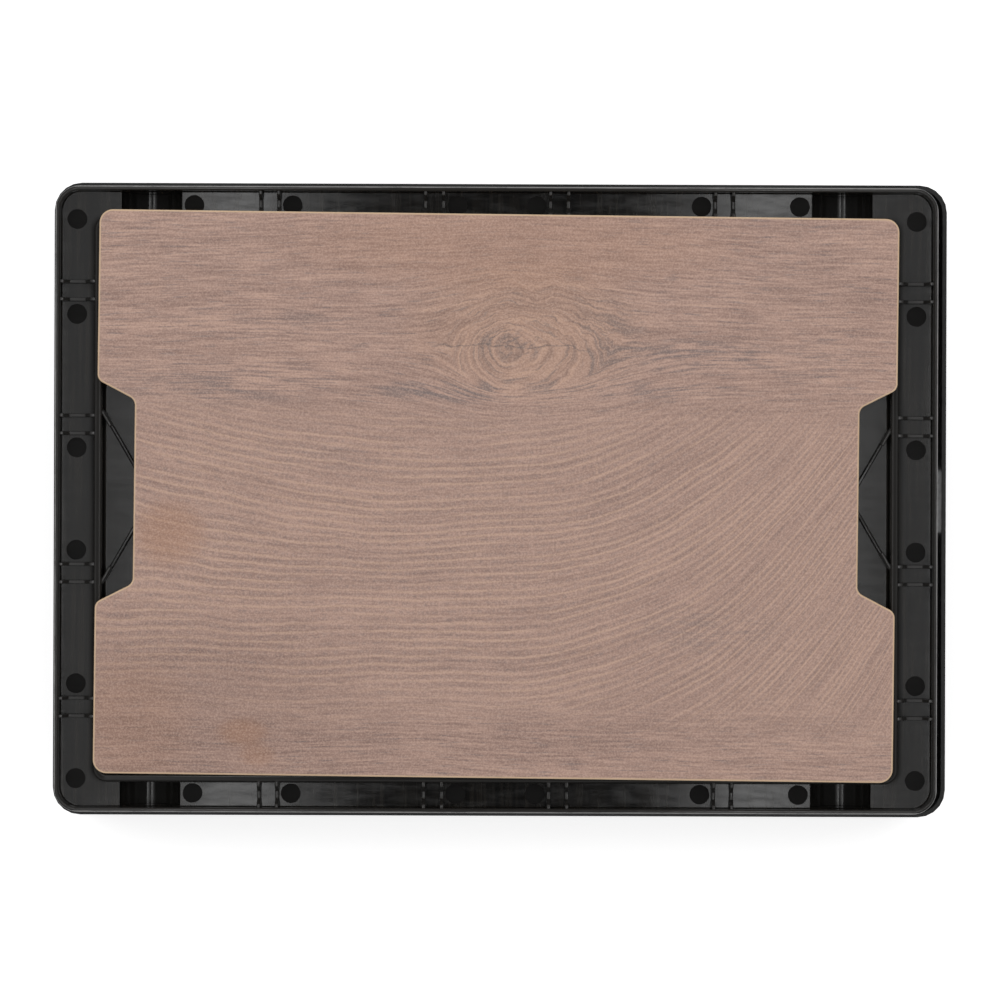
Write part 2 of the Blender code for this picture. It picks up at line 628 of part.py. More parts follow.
def make_end_wall(name, side, finish):
    """End wall, hinged to the rim and folded flat onto its ledge."""
    hinge_x = side * END_HINGE_X
    tip_x = hinge_x - side * END_WALL_REACH
    radius = END_WALL_THICKNESS / 2
    notch = radius + KNUCKLE_SIDE_GAP
    y_span = (-END_WALL_HALF, END_WALL_HALF)
    wall = block((hinge_x, tip_x), y_span, (END_WALL_LOW, END_WALL_HIGH))
    boolean(wall, "UNION", [round_bar("Y", y_span, hinge_x, END_AXIS_Z, radius)])
    cuts = []
    for place in END_POST_PLACES:
        reach = POST_WIDTH / 2 + KNUCKLE_SIDE_GAP
        cuts.append(block((hinge_x + side * notch, hinge_x - side * notch),
                          (place - reach, place + reach),
                          (END_WALL_LOW - CUTTER_OVERRUN, END_WALL_HIGH + CUTTER_OVERRUN)))
    cuts += pockets((hinge_x - side * (notch + PANEL_BORDER), tip_x + side * PANEL_BORDER),
                    (PANEL_BORDER - END_WALL_HALF, END_WALL_HALF - PANEL_BORDER),
                    (END_WALL_LOW + PANEL_SKIN, END_WALL_HIGH + CUTTER_OVERRUN), END_BAYS, "Y")
    cuts.append(round_bar("Y", (-END_WALL_HALF - CUTTER_OVERRUN, END_WALL_HALF + CUTTER_OVERRUN),
                          hinge_x, END_AXIS_Z, BORE_RADIUS, ROD_SIDES))
    boolean(wall, "DIFFERENCE", cuts)
    return make_part(wall, name, finish, (hinge_x, 0.0, END_AXIS_Z))


def make_rod(name, along, side, height, half_run, middle, finish):
    """Steel hinge rod."""
    rod = round_bar(along, (middle - half_run, middle + half_run), side, height, ROD_RADIUS,
                    ROD_SIDES)
    centre = (middle, side, height) if along == "X" else (side, middle, height)
    return make_part(rod, name, finish, centre)


def make_table_board(finish):
    """Table board with a finger notch at the middle of each short side."""
    end = BOARD_HALF_X
    floor = BOARD_HALF_X - NOTCH_DEPTH
    right = [(end, -BOARD_HALF_Y, BOARD_CORNER), (end, -NOTCH_MOUTH / 2, NOTCH_FILLET),
             (floor, -NOTCH_FLOOR / 2, NOTCH_FILLET), (floor, NOTCH_FLOOR / 2, NOTCH_FILLET),
             (end, NOTCH_MOUTH / 2, NOTCH_FILLET), (end, BOARD_HALF_Y, BOARD_CORNER)]
    left = [(-x, -y, radius) for x, y, radius in right]
    board = plate([filleted(right + left, FILLET_STEPS)],
                  (BOARD_LOW, BOARD_LOW + BOARD_THICKNESS))
    make_part(board, "table_board", finish)
    board.location = (BASE_SHIFT, BOARD_OFFSET_Y, 0.0)
    board.rotation_euler = (0.0, 0.0, BOARD_TURN)
    return board


def make_bag(finishes):
    """Cooler bag folded flat between the lower walls and the base's floor, lid downwards."""
    strap_low = LOWER_HIGH + TOUCH_GAP
    lid_low = strap_low + STRAP_THICKNESS + TOUCH_GAP
    zip_low = lid_low + BAG_LID + TOUCH_GAP
    body_low = zip_low + BAG_ZIP + TOUCH_GAP
    outline = rounded_rectangle(BAG_HALF_X, BAG_HALF_Y, BAG_CORNER)
    inner = rounded_rectangle(BAG_HALF_X - BAG_ZIP_WIDTH, BAG_HALF_Y - BAG_ZIP_WIDTH,
                              BAG_CORNER - BAG_ZIP_WIDTH)
    body = plate([outline], (body_low, FLOOR_LOW - TOUCH_GAP))
    bevel(body, BAG_EDGE_ROUNDING, 2)
    lid = plate([outline], (lid_low, lid_low + BAG_LID))
    bevel(lid, LID_EDGE_ROUNDING, 2)
    zip_tape = plate([outline, inner], (zip_low, zip_low + BAG_ZIP))
    pieces = [(body, "cooler_bag_body", "fabric"), (lid, "cooler_bag_lid", "fabric"),
              (zip_tape, "cooler_bag_zip", "zip")]
    for side, word in ((-1, "front"), (1, "back")):
        edge = side * BAG_HALF_Y
        tip = edge - side * HANDLE_REACH
        outer = HANDLE_SPAN / 2
        leg = outer - STRAP_WIDTH
        hollow = HANDLE_CORNER - STRAP_WIDTH
        square = TOUCH_GAP
        corners = [(-outer, edge, square), (-outer, tip, HANDLE_CORNER),
                   (outer, tip, HANDLE_CORNER), (outer, edge, square), (leg, edge, square),
                   (leg, tip + side * STRAP_WIDTH, hollow),
                   (-leg, tip + side * STRAP_WIDTH, hollow), (-leg, edge, square)]
        strap = plate([filleted(corners, FILLET_STEPS)],
                      (strap_low, strap_low + STRAP_THICKNESS))
        pieces.append((strap, "bag_handle_" + word, "webbing"))
    made = []
    for piece, name, key in pieces:
        shifted(piece, x=BASE_SHIFT)
        made.append(make_part(piece, name, finishes[key]))
    return made


def attach(child, parent):
    """Parent a part and keep its place."""
    bpy.context.view_layer.update()
    child.parent = parent
    child.matrix_parent_inverse = parent.matrix_world.inverted()


def build():
    """Make every part and hang it on the part that carries it."""
    rim = make_top_rim(finish_of("rim_plastic", BLACK, RIM_ROUGHNESS))
    attach(make_rim_skirt(finish_of("skirt_plastic", BLACK, RIM_ROUGHNESS)), rim)
    base = make_base_tray(finish_of("base_plastic", BLACK, BASE_ROUGHNESS))
    long_half = WALL_HALF - ROD_END_INSET
    end_half = END_WALL_HALF - ROD_END_INSET
    for side, word in ((-1, "front"), (1, "back")):
        plastic = finish_of(word + "_wall_plastic", BLACK, WALL_ROUGHNESS)
        steel = finish_of(word + "_rod_steel", STEEL, STEEL_ROUGHNESS, 1.0)
        upper = make_long_wall(word + "_upper_wall", side, True, plastic)
        lower = make_long_wall(word + "_lower_wall", side, False, plastic)
        rim_rod = make_rod(word + "_rim_rod", "X", side * HINGE_Y, RIM_AXIS_Z, long_half,
                           BASE_SHIFT, steel)
        mid_rod = make_rod(word + "_mid_rod", "X", side * MID_Y, MID_AXIS_Z, long_half,
                           BASE_SHIFT, steel)
        base_rod = make_rod(word + "_base_rod", "X", side * HINGE_Y, BASE_AXIS_Z, long_half,
                            BASE_SHIFT, steel)
        attach(upper, rim)
        attach(rim_rod, rim)
        attach(mid_rod, upper)
        attach(lower, upper)
        attach(base_rod, lower)
        if side < 0:
            attach(base, lower)
    for side, word in ((-1, "left"), (1, "right")):
        plastic = finish_of(word + "_end_plastic", BLACK, WALL_ROUGHNESS)
        steel = finish_of(word + "_end_rod_steel", STEEL, STEEL_ROUGHNESS, 1.0)
        attach(make_end_wall(word + "_end_wall", side, plastic), rim)
        attach(make_rod(word + "_end_rod", "Y", side * END_HINGE_X, END_AXIS_Z, end_half, 0.0,
                        steel), rim)
    attach(make_table_board(finish_of("board_laminate", LAMINATE, LAMINATE_ROUGHNESS)), base)
    bag = make_bag({"fabric": finish_of("bag_fabric", FABRIC, FABRIC_ROUGHNESS),
                    "zip": finish_of("zip_tape", ZIP_BLACK, ZIP_ROUGHNESS),
                    "webbing": finish_of("bag_webbing", WEBBING, WEBBING_ROUGHNESS)})
    for piece in bag:
        attach(piece, base)


build()
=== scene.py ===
import json
import math

import bmesh
import bpy
from mathutils import Matrix, Vector, noise


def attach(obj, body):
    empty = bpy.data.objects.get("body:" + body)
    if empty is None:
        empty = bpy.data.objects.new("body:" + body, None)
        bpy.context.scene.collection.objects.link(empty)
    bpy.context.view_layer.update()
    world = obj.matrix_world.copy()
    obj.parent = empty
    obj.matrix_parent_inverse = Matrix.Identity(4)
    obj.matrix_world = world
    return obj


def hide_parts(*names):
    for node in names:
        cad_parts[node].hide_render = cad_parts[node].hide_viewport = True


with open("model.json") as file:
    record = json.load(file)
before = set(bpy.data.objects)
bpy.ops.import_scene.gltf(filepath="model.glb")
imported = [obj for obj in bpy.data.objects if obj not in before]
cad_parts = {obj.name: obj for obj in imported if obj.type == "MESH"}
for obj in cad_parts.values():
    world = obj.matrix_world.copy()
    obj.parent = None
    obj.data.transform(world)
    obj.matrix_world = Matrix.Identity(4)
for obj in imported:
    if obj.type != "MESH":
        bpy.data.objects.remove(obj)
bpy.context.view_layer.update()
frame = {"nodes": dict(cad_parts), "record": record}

# Places and sizes of the CAD part, in metres
BASE_X = -0.002
BASE_LOW = 0.035
BASE_HIGH = 0.080
BASE_OUTER = (0.2390, 0.1695, 0.013)
BASE_INNER = (0.2366, 0.1671, 0.0106)
RIDGE_OUTER = (0.2182, 0.1535, 0.0075)
RIDGE_INNER = (0.2138, 0.1491, 0.0031)
CHANNEL_HIGH = 0.0704
CHANNEL_LOW = 0.0680
FLOOR_HIGH = 0.066
FLOOR_LOW = 0.0636
SHELL = 0.0024
HINGE_Y = 0.160
BASE_AXIS_Z = 0.0325

# Rounding of the fine base
WALL_EDGE = 0.00115
FOOT_EDGE = 0.0004
RIDGE_EDGE = 0.0033
RIDGE_INNER_EDGE = 0.0009
CHANNEL_FILLET = 0.0006
DISH_WIDTH = 0.0030
WALL_RISE = 0.00005
RIDGE_RISE = 0.00016
FLOOR_FILLET = 0.0016
LEAST_CORNER = 0.0008

# Ribs, sockets, hinge posts and marks of the base
END_RIBS = (0.0355, 0.0452, 0.1082, 0.1179)
SIDE_RIBS = (0.0290, 0.0388, 0.1184, 0.1282)
RIB_THICKNESS = 0.0019
RIB_TIP = 0.002
RIB_SLOPE = 0.0028
RIB_TOP = 0.0788
RIB_LOW = 0.0738
RIB_OVERLAP = 0.0008
RIB_EDGE = 0.0004
SOCKET_X = 0.1877
SOCKET_RADIUS = 0.0164
SOCKET_MARGIN = 0.0004
BOWL_SINK = 0.0003
BOWL_CUT_HALF = 0.03
BOWL_CUT_Y = (0.14, 0.18)
BOWL_CUT_TOP = 0.1
LATTICE_CENTRE = (0.0026, 0.0012)
LATTICE_PITCH = 0.1898
LATTICE_ANGLE = math.radians(60.0)
LATTICE_RIB = 0.0018
LATTICE_TOP = 0.070
LATTICE_OVERLAP = 0.001
GUSSET_TOP = 0.076
GUSSET_LENGTH = 0.011
GUSSET_WIDTH = LATTICE_RIB * 0.98
BASE_POSTS = (-0.110, 0.110)
POST_WIDTH = 0.008
POST_RADIUS = 0.0037
POST_NECK = 0.9 * POST_RADIUS
POST_START = BASE_AXIS_Z + 0.3 * POST_RADIUS
POST_SINK = 0.001
BORE_RADIUS = 0.0024
BORE_HALF = 0.236
END_MARKS = (0.0278, 0.1004, 0.1520)
SIDE_MARKS = (0.0215, 0.1111, 0.1646)
END_MARK_X = 0.2282
SIDE_MARK_Y = 0.1598
MARK_RADIUS = 0.0055
MARK_SIDES = 36
MARK_WANDER = 0.035
MARK_SINK = 0.0002
MARK_RISE = 0.00015
MARK_EDGE = 0.0002

# Table board
BOARD_HALF = (0.21555, 0.1520)
BOARD_LOW = 0.0803
BOARD_HIGH = 0.0893
BOARD_CORNER = 0.0073
BOARD_TURN = math.radians(-0.52)
BOARD_Y = 0.0021
BOARD_EDGE = 0.0009
NOTCH_MOUTH = 0.0600
NOTCH_FLOOR = 0.0495
NOTCH_DEPTH = 0.0203
NOTCH_FILLET = 0.005

# Grain of the board and painted shade on it, from its middle: patches are (centre, half size,
# strength)
KNOT = (0.0065, 0.0815)
KNOT_RADIUS = 0.026
ARC_PITCH = 0.0043
GREY_PATCHES = (((0.000, 0.083), (0.020, 0.012), 0.6), ((-0.020, 0.056), (0.060, 0.008), 0.9),
                ((0.055, 0.058), (0.090, 0.007), 0.9), ((0.058, 0.082), (0.026, 0.032), 0.7),
                ((0.110, 0.076), (0.060, 0.012), 0.8), ((0.170, 0.075), (0.035, 0.014), 0.5),
                ((-0.150, 0.060), (0.080, 0.016), 0.6), ((-0.130, 0.092), (0.080, 0.010), 0.4),
                ((0.118, -0.070), (0.045, 0.018), 0.4), ((-0.090, 0.020), (0.080, 0.010), 0.3))
RED_PATCHES = (((-0.176, -0.022), (0.024, 0.022), 0.60), ((-0.135, -0.129), (0.017, 0.010), 0.70),
               ((-0.127, -0.141), (0.012, 0.008), 0.60), ((-0.195, -0.125), (0.040, 0.045), 0.32),
               ((0.005, 0.135), (0.150, 0.030), 0.34))
# Painted shade: the board is darker towards the bottom left and along the bottom edge
PAINTED_SHADE_PATCHES = (((-0.165, -0.120), (0.130, 0.070), 0.42), ((0.020, -0.150), (0.200, 0.040), 0.22))

# Cooler bag, folded flat with its lid down
BAG_HALF = (0.200, 0.135)
BAG_CORNER = 0.028
BAG_SIZE = (*BAG_HALF, BAG_CORNER)
BODY_SPAN = (0.0473, 0.0633)
LID_SPAN = (0.0387, 0.0447)

# Rings of the two pads: (inset, height over the underside), then (inset, depth under the top)
BODY_RISING = ((0.0075, 0.0012), (0.0035, 0.0018), (0.0015, 0.0042), (0.0026, 0.0066),
               (0.0062, 0.0080), (0.0026, 0.0094), (0.0015, 0.0118))
BODY_FALLING = ((0.0035, 0.0018), (0.0075, 0.0012))
LID_RISING = ((0.0050, 0.0007), (0.0022, 0.0012), (0.0012, 0.0030))
LID_FALLING = ((0.0022, 0.0012), (0.0050, 0.0007))
PAD_MARGIN = 0.0001

# Padded cloth and its seams
CLOTH_STEPS = 20
CLOTH_PRESSURE = 4.0
CLOTH_SLACK = -0.035
LIMIT_EASING = 0.0012
SEAM_WIDTH = 0.0011
SEAM_DEPTH = 0.0009
BODY_SEAM = 0.016
LID_SEAM = 0.014

# Zip, handles and trim of the bag
ZIP_SPAN = (0.0450, 0.0470)
STRAP_SPAN = (0.0368, 0.0384)
STRAP_HALF_WIDTH = 0.0125
HANDLE_HALF = 0.0725
HANDLE_TIP = 0.0625
HANDLE_BEND = 0.0175
HANDLE_CURL = 0.0024
HANDLE_END = BAG_HALF[1] - 0.0003
HANDLE_STEP = 0.004
LEAST_STEP = 0.0002
SHARP = 0.0001
PIPING_RADIUS = 0.0013
PIPING_INSET = 0.0012
PIPING_LOW_Z = LID_SPAN[1] - 0.0011
PIPING_HIGH_Z = BODY_SPAN[0] + 0.0012
PIPING_SIDES = 10
TAPE_RINGS = ((0.0015, 0.0), (0.0010, 0.5), (0.0015, 1.0), (0.0095, 1.0), (0.0095, 0.0))
TOOTH_PITCH = 0.0018
TOOTH_SIZE = (TOOTH_PITCH * 0.55, 0.0012, 0.0011)
TOOTH_LIFT = 0.00028
TEETH_INSET = 0.0006
SLIDER_X = 0.0075
SLIDER_PARTS = (((0.0, 0.0), (0.0085, 0.0034, 0.0054)),
                ((0.001, -0.0022), (0.0045, 0.0016, 0.0022)),
                ((0.0135, -0.0022), (0.0210, 0.0010, 0.0042)))
STRAP_MARGIN = (0.0004, 0.0003)
STRAP_SECTION = ((-1.0, 0.5), (-0.985, 0.12), (-0.94, 0.0), (0.94, 0.0), (0.985, 0.12), (1.0, 0.5),
                 (0.985, 0.88), (0.94, 1.0), (-0.94, 1.0), (-0.985, 0.88))
STRAP_WAVE = 0.00018
CURL_REACH = 0.007
STITCH_PITCH = 0.0034
STITCH_SIZE = (STITCH_PITCH * 0.68, 0.0006, 0.0003)
BOX_STITCH_Y = (0.131, 0.108)
BOX_STITCH_HALF = 0.0095
BOX_STITCH_SINK = 0.00012
EDGE_STITCH_INSET = 0.0175
EDGE_STITCH_SINK = 0.0001

# Tints of the base's plastic, with painted light on its walls and a painted highlight on its rim
DUST_TINT = (0.06, 0.06, 0.06)
DRAG_TINT = (0.0130, 0.0112, 0.0092)
# Painted light: the walls and ridge are coloured lighter than the channel floor of the same
# moulding
PAINTED_WALL_LIGHT = (0.0200, 0.0190, 0.0180)
FLOOR_TINT = (0.0135, 0.0128, 0.0118)
# Painted highlight: a light line along the rounded outer edge of the base's wall top
PAINTED_RIM_HIGHLIGHT = (0.21, 0.205, 0.20)

# Tints of the board's grain
DARK = (0.262, 0.168, 0.138)
PALE = (0.468, 0.305, 0.245)
TAN = (0.545, 0.360, 0.265)
GREY = (0.185, 0.152, 0.148)
RED = (0.37, 0.20, 0.125)
SHADE = (0.58, 0.56, 0.56)
WARMTH = (1.0, 0.96, 0.87)
EYE_TINT = (0.125, 0.112, 0.112)
CRACK_TINT = (0.115, 0.100, 0.095)
FIBRE_TINT = (0.54, 0.365, 0.295)
PALE_SPECK = (0.62, 0.44, 0.365)
DARK_SPECK = (0.235, 0.155, 0.130)

# Steps in a rounded corner and in a quarter round
CORNER_STEPS = 10
ARC_STEPS = 5

scene = bpy.context.scene


# Shapes

def link(mesh, name):
    """Put a mesh in the scene as an object."""
    piece = bpy.data.objects.new(name, mesh)
    scene.collection.objects.link(piece)
    return piece


def from_bmesh(work, name):
    """Turn a bmesh into an object."""
    bmesh.ops.recalc_face_normals(work, faces=work.faces)
    mesh = bpy.data.meshes.new(name)
    work.to_mesh(mesh)
    work.free()
    return link(mesh, name)


def on_base(work, name):
    """Turn a bmesh that is centred on the base into an object."""
    piece = from_bmesh(work, name)
    piece.location = (BASE_X, 0.0, 0.0)
    return piece


def applied(piece):
    """Apply a piece's modifiers."""
    bpy.context.view_layer.update()
    evaluated = piece.evaluated_get(bpy.context.evaluated_depsgraph_get())
    mesh = bpy.data.meshes.new_from_object(evaluated)
    mesh.name = piece.data.name
    piece.modifiers.clear()
    piece.data = mesh


def boolean(target, operation, others):
    """Join pieces to a target, or cut them out of it, and drop them."""
    for other in others:
        modifier = target.modifiers.new(operation, "BOOLEAN")
        modifier.operation = operation
        modifier.solver = "EXACT"
        modifier.object = other
    applied(target)
    for other in others:
        bpy.data.objects.remove(other, do_unlink=True)
    return target


def smooth(piece, angle=35.0):
    """Shade smooth, with sharp edges above an angle."""
    piece.data.shade_smooth()
    piece.data.set_sharp_from_angle(angle=math.radians(angle))
    modifier = piece.modifiers.new("normals", "WEIGHTED_NORMAL")
    modifier.keep_sharp = True
    return piece


def block(x_span, y_span, z_span):
    """A box between pairs of coordinates."""
    spans = (sorted(x_span), sorted(y_span), sorted(z_span))
    work = bmesh.new()
    bmesh.ops.create_cube(work, size=1.0)
    bmesh.ops.scale(work, vec=[high - low for low, high in spans], verts=work.verts)
    bmesh.ops.translate(work, vec=[(high + low) / 2 for low, high in spans], verts=work.verts)
    return from_bmesh(work, "block")


def cylinder(along, span, side, height, radius, sides=48):
    """A cylinder along X or Y."""
    low, high = sorted(span)
    turn = Matrix.Rotation(math.radians(90.0), 4, "Y" if along == "X" else "X")
    middle = (low + high) / 2
    centre = (middle, side, height) if along == "X" else (side, middle, height)
    work = bmesh.new()
    bmesh.ops.create_cone(work, cap_ends=True, segments=sides, radius1=radius, radius2=radius,
                          depth=high - low, matrix=Matrix.Translation(centre) @ turn)
    return from_bmesh(work, "cylinder")


def filleted(corners, steps):
    """An outline whose corners (x, y, radius) are rounded with arcs."""
    outline = []
    for index, (x, y, radius) in enumerate(corners):
        corner = Vector((x, y))
        before = (Vector(corners[index - 1][:2]) - corner).normalized()
        after = (Vector(corners[(index + 1) % len(corners)][:2]) - corner).normalized()
        half_angle = before.angle(after) / 2
        centre = corner + (before + after).normalized() * (radius / math.sin(half_angle))
        first = corner + before * (radius / math.tan(half_angle)) - centre
        sweep = math.pi - 2 * half_angle
        turn = 1.0 if before.cross(after) < 0 else -1.0
        for step in range(steps + 1):
            outline.append(centre + Matrix.Rotation(turn * sweep * step / steps, 2) @ first)
    return outline


def ring(half_x, half_y, radius, cuts=(36, 26)):
    """A rounded rectangle with its straight sides cut into even steps."""
    corners = ((half_x, half_y), (-half_x, half_y), (-half_x, -half_y), (half_x, -half_y))
    arcs = filleted([(x, y, radius) for x, y in corners], CORNER_STEPS)
    points = []
    per_corner = CORNER_STEPS + 1
    for index in range(4):
        points += arcs[index * per_corner:(index + 1) * per_corner]
        start = points[-1]
        end = arcs[((index + 1) * per_corner) % len(arcs)]
        count = cuts[index % 2]
        points += [start.lerp(end, step / count) for step in range(1, count)]
    return points


def loft(levels, name):
    """A closed skin through rings, each (half_x, half_y, radius, z). The ends are capped."""
    work = bmesh.new()
    rows = []
    for half_x, half_y, radius, z in levels:
        rows.append([work.verts.new((p.x, p.y, z)) for p in ring(half_x, half_y, radius)])
    for row, following in zip(rows, rows[1:]):
        for index in range(len(row)):
            work.faces.new((row[index - 1], row[index], following[index], following[index - 1]))
    work.faces.new(rows[0])
    work.faces.new(rows[-1])
    return from_bmesh(work, name)


def level(size, inset, z):
    """One level of a loft, inset from a rounded rectangle (half_x, half_y, radius)."""
    return (size[0] - inset, size[1] - inset, max(size[2] - inset, LEAST_CORNER), z)


def arc(size, offset, z, radius, start, end):
    """Levels of a quarter round. offset and z are its centre, angles run from outward to up."""
    levels = []
    for step in range(ARC_STEPS + 1):
        angle = math.radians(start + (end - start) * step / ARC_STEPS)
        levels.append(level(size, offset - radius * math.cos(angle), z + radius * math.sin(angle)))
    return levels


def fine_base():
    """The base's wall, channel, ridge and floor as one skin, with ribs, sockets and posts."""
    levels = [level(RIDGE_OUTER, FOOT_EDGE, FLOOR_LOW)]
    levels += [level(RIDGE_OUTER, 0.0, FLOOR_LOW + FOOT_EDGE), level(RIDGE_OUTER, 0.0, CHANNEL_LOW)]
    levels += [level(BASE_INNER, 0.0, CHANNEL_LOW), level(BASE_INNER, 0.0, BASE_LOW + FOOT_EDGE)]
    levels += [level(BASE_INNER, -FOOT_EDGE, BASE_LOW), level(BASE_OUTER, FOOT_EDGE, BASE_LOW)]
    levels += [level(BASE_OUTER, 0.0, BASE_LOW + FOOT_EDGE)]
    levels += arc(BASE_OUTER, WALL_EDGE, BASE_HIGH - WALL_EDGE, WALL_EDGE, 0, 90)
    levels += arc(BASE_OUTER, SHELL - WALL_EDGE, BASE_HIGH - WALL_EDGE, WALL_EDGE, 90, 180)
    levels += arc(BASE_INNER, CHANNEL_FILLET, CHANNEL_HIGH + WALL_RISE + CHANNEL_FILLET,
                  CHANNEL_FILLET, 0, -90)
    levels += [level(BASE_INNER, CHANNEL_FILLET + DISH_WIDTH, CHANNEL_HIGH)]
    levels += [level(RIDGE_OUTER, -CHANNEL_FILLET - DISH_WIDTH, CHANNEL_HIGH)]
    levels += arc(RIDGE_OUTER, -CHANNEL_FILLET, CHANNEL_HIGH + RIDGE_RISE + CHANNEL_FILLET,
                  CHANNEL_FILLET, -90, -180)
    levels += arc(RIDGE_OUTER, RIDGE_EDGE, BASE_HIGH - RIDGE_EDGE, RIDGE_EDGE, 0, 90)
    levels += arc(RIDGE_INNER, -RIDGE_INNER_EDGE, BASE_HIGH - RIDGE_INNER_EDGE, RIDGE_INNER_EDGE,
                  90, 180)
    levels += arc(RIDGE_INNER, FLOOR_FILLET, FLOOR_HIGH + FLOOR_FILLET, FLOOR_FILLET, 0, -90)
    base = loft(levels, "base_shell")
    added, cuts = [], []
    for side in (-1, 1):
        for sign in (-1, 1):
            for place in END_RIBS:
                added.append(channel_rib("Y", sign * place, side, RIDGE_OUTER[0], BASE_INNER[0]))
            for place in SIDE_RIBS:
                added.append(channel_rib("X", sign * place, side, RIDGE_OUTER[1], BASE_INNER[1]))
            x = sign * SOCKET_X
            near, far = side * RIDGE_OUTER[1], side * BASE_INNER[1]
            bowl = cylinder("Y", (near - side * SHELL / 2, far + side * SHELL / 2), x,
                            CHANNEL_HIGH, SOCKET_RADIUS + SHELL)
            above = block((x - BOWL_CUT_HALF, x + BOWL_CUT_HALF), [side * y for y in BOWL_CUT_Y],
                          (CHANNEL_HIGH - BOWL_SINK, BOWL_CUT_TOP))
            added.append(boolean(bowl, "DIFFERENCE", [above]))
            cuts.append(cylinder("Y", (near + side * SOCKET_MARGIN, far - side * SOCKET_MARGIN), x,
                                 CHANNEL_HIGH + SOCKET_MARGIN, SOCKET_RADIUS, 72))
        hinge = side * HINGE_Y
        for place in BASE_POSTS:
            width = (place - POST_WIDTH / 2, place + POST_WIDTH / 2)
            added.append(block(width, (hinge - POST_NECK, hinge + POST_NECK),
                               (POST_START, CHANNEL_LOW + POST_SINK)))
            added.append(cylinder("X", width, hinge, BASE_AXIS_Z, POST_RADIUS, 32))
        cuts.append(cylinder("X", (-BORE_HALF, BORE_HALF), hinge, BASE_AXIS_Z, BORE_RADIUS, 24))
    added += lattice()
    boolean(base, "UNION", added)
    boolean(base, "DIFFERENCE", cuts)
    base.location = (BASE_X, 0.0, 0.0)
    return smooth(base)


def channel_rib(along, place, side, inner, outer):
    """A rib across the channel, high at both walls and low between them."""
    foot = CHANNEL_HIGH - SHELL / 2
    inner, outer = inner - RIB_OVERLAP, outer + RIB_OVERLAP
    inner_tip, outer_tip = inner + RIB_OVERLAP + RIB_TIP, outer - RIB_OVERLAP - RIB_TIP
    profile = [(inner, foot), (outer, foot), (outer, RIB_TOP), (outer_tip, RIB_TOP),
               (outer_tip - RIB_SLOPE, RIB_LOW), (inner_tip + RIB_SLOPE, RIB_LOW),
               (inner_tip, RIB_TOP), (inner, RIB_TOP)]
    work = bmesh.new()
    rims = []
    for offset in (-RIB_THICKNESS / 2, RIB_THICKNESS / 2):
        points = []
        for across, height in profile:
            plan = (side * across, place + offset)
            x, y = plan if along == "Y" else reversed(plan)
            points.append(work.verts.new((x, y, height)))
        rims.append(points)
    first, second = rims
    for index in range(len(first)):
        work.faces.new((first[index - 1], first[index], second[index], second[index - 1]))
    work.faces.new(first)
    work.faces.new(second)
    bmesh.ops.recalc_face_normals(work, faces=work.faces)
    tops = [edge for edge in work.edges if min(v.co.z for v in edge.verts) > foot + 0.001]
    bmesh.ops.bevel(work, geom=tops, offset=RIB_EDGE, segments=2, profile=0.5, affect="EDGES",
                    clamp_overlap=True)
    return from_bmesh(work, "rib")


def bar(start, end, width, z_span):
    """An upright bar with a rounded top between two points in plan."""
    run = end - start
    low, high = z_span
    centre = Vector(((start.x + end.x) / 2, (start.y + end.y) / 2, (low + high) / 2))
    turn = Matrix.Rotation(math.atan2(run.y, run.x), 4, "Z")
    work = bmesh.new()
    bmesh.ops.create_cube(work, size=1.0, matrix=Matrix.Translation(centre) @ turn @
                          Matrix.Diagonal((run.length, width, high - low, 1.0)))
    tops = [edge for edge in work.edges if all(v.co.z > centre.z for v in edge.verts)]
    bmesh.ops.bevel(work, geom=tops, offset=RIB_EDGE, segments=2, profile=0.5, affect="EDGES")
    return from_bmesh(work, "bar")


def lattice():
    """Diagonal ribs on the base's floor, each taller where it meets the ridge."""
    reach = (RIDGE_INNER[0] + LATTICE_OVERLAP, RIDGE_INNER[1] + LATTICE_OVERLAP)
    foot = FLOOR_HIGH - SHELL / 2
    ribs = []
    for apex in (-1, 0, 1):
        middle = Vector((LATTICE_CENTRE[0] + apex * LATTICE_PITCH, LATTICE_CENTRE[1]))
        for slant in (-1, 1):
            direction = Vector((slant * math.cos(LATTICE_ANGLE), math.sin(LATTICE_ANGLE)))
            ends = []
            for way in (-1, 1):
                ray = direction * way
                travel = min((math.copysign(reach[0], ray.x) - middle.x) / ray.x,
                             (math.copysign(reach[1], ray.y) - middle.y) / ray.y)
                ends.append(middle + ray * travel)
            ribs.append(bar(ends[0], ends[1], LATTICE_RIB, (foot, LATTICE_TOP)))
            for end, other in (ends, reversed(ends)):
                inward = (other - end).normalized()
                ribs.append(bar(end, end + inward * GUSSET_LENGTH, GUSSET_WIDTH,
                                (foot, GUSSET_TOP)))
    return ribs


def marks():
    """Round ejector marks on the channel's floor, each a thin disc with a ragged rim."""
    places = []
    for side in (-1, 1):
        for sign in (-1, 1):
            places += [(side * END_MARK_X, sign * y) for y in END_MARKS]
            places += [(sign * x, side * SIDE_MARK_Y) for x in SIDE_MARKS]
    work = bmesh.new()
    for number, (x, y) in enumerate(places):
        rim, top = [], []
        for step in range(MARK_SIDES):
            angle = math.tau * step / MARK_SIDES
            across, along = math.cos(angle), math.sin(angle)
            wander = noise.noise(Vector((across * 2, along * 2, number * 3.1)))
            radius = MARK_RADIUS * (1 + MARK_WANDER * wander)
            for points, reach, z in ((rim, radius, CHANNEL_HIGH - MARK_SINK),
                                     (top, radius - MARK_EDGE, CHANNEL_HIGH + MARK_RISE)):
                points.append(work.verts.new((x + reach * across, y + reach * along, z)))
        for index in range(MARK_SIDES):
            work.faces.new((rim[index - 1], rim[index], top[index], top[index - 1]))
        work.faces.new(top)
        work.faces.new(rim)
    return smooth(on_base(work, "ejector_marks"))


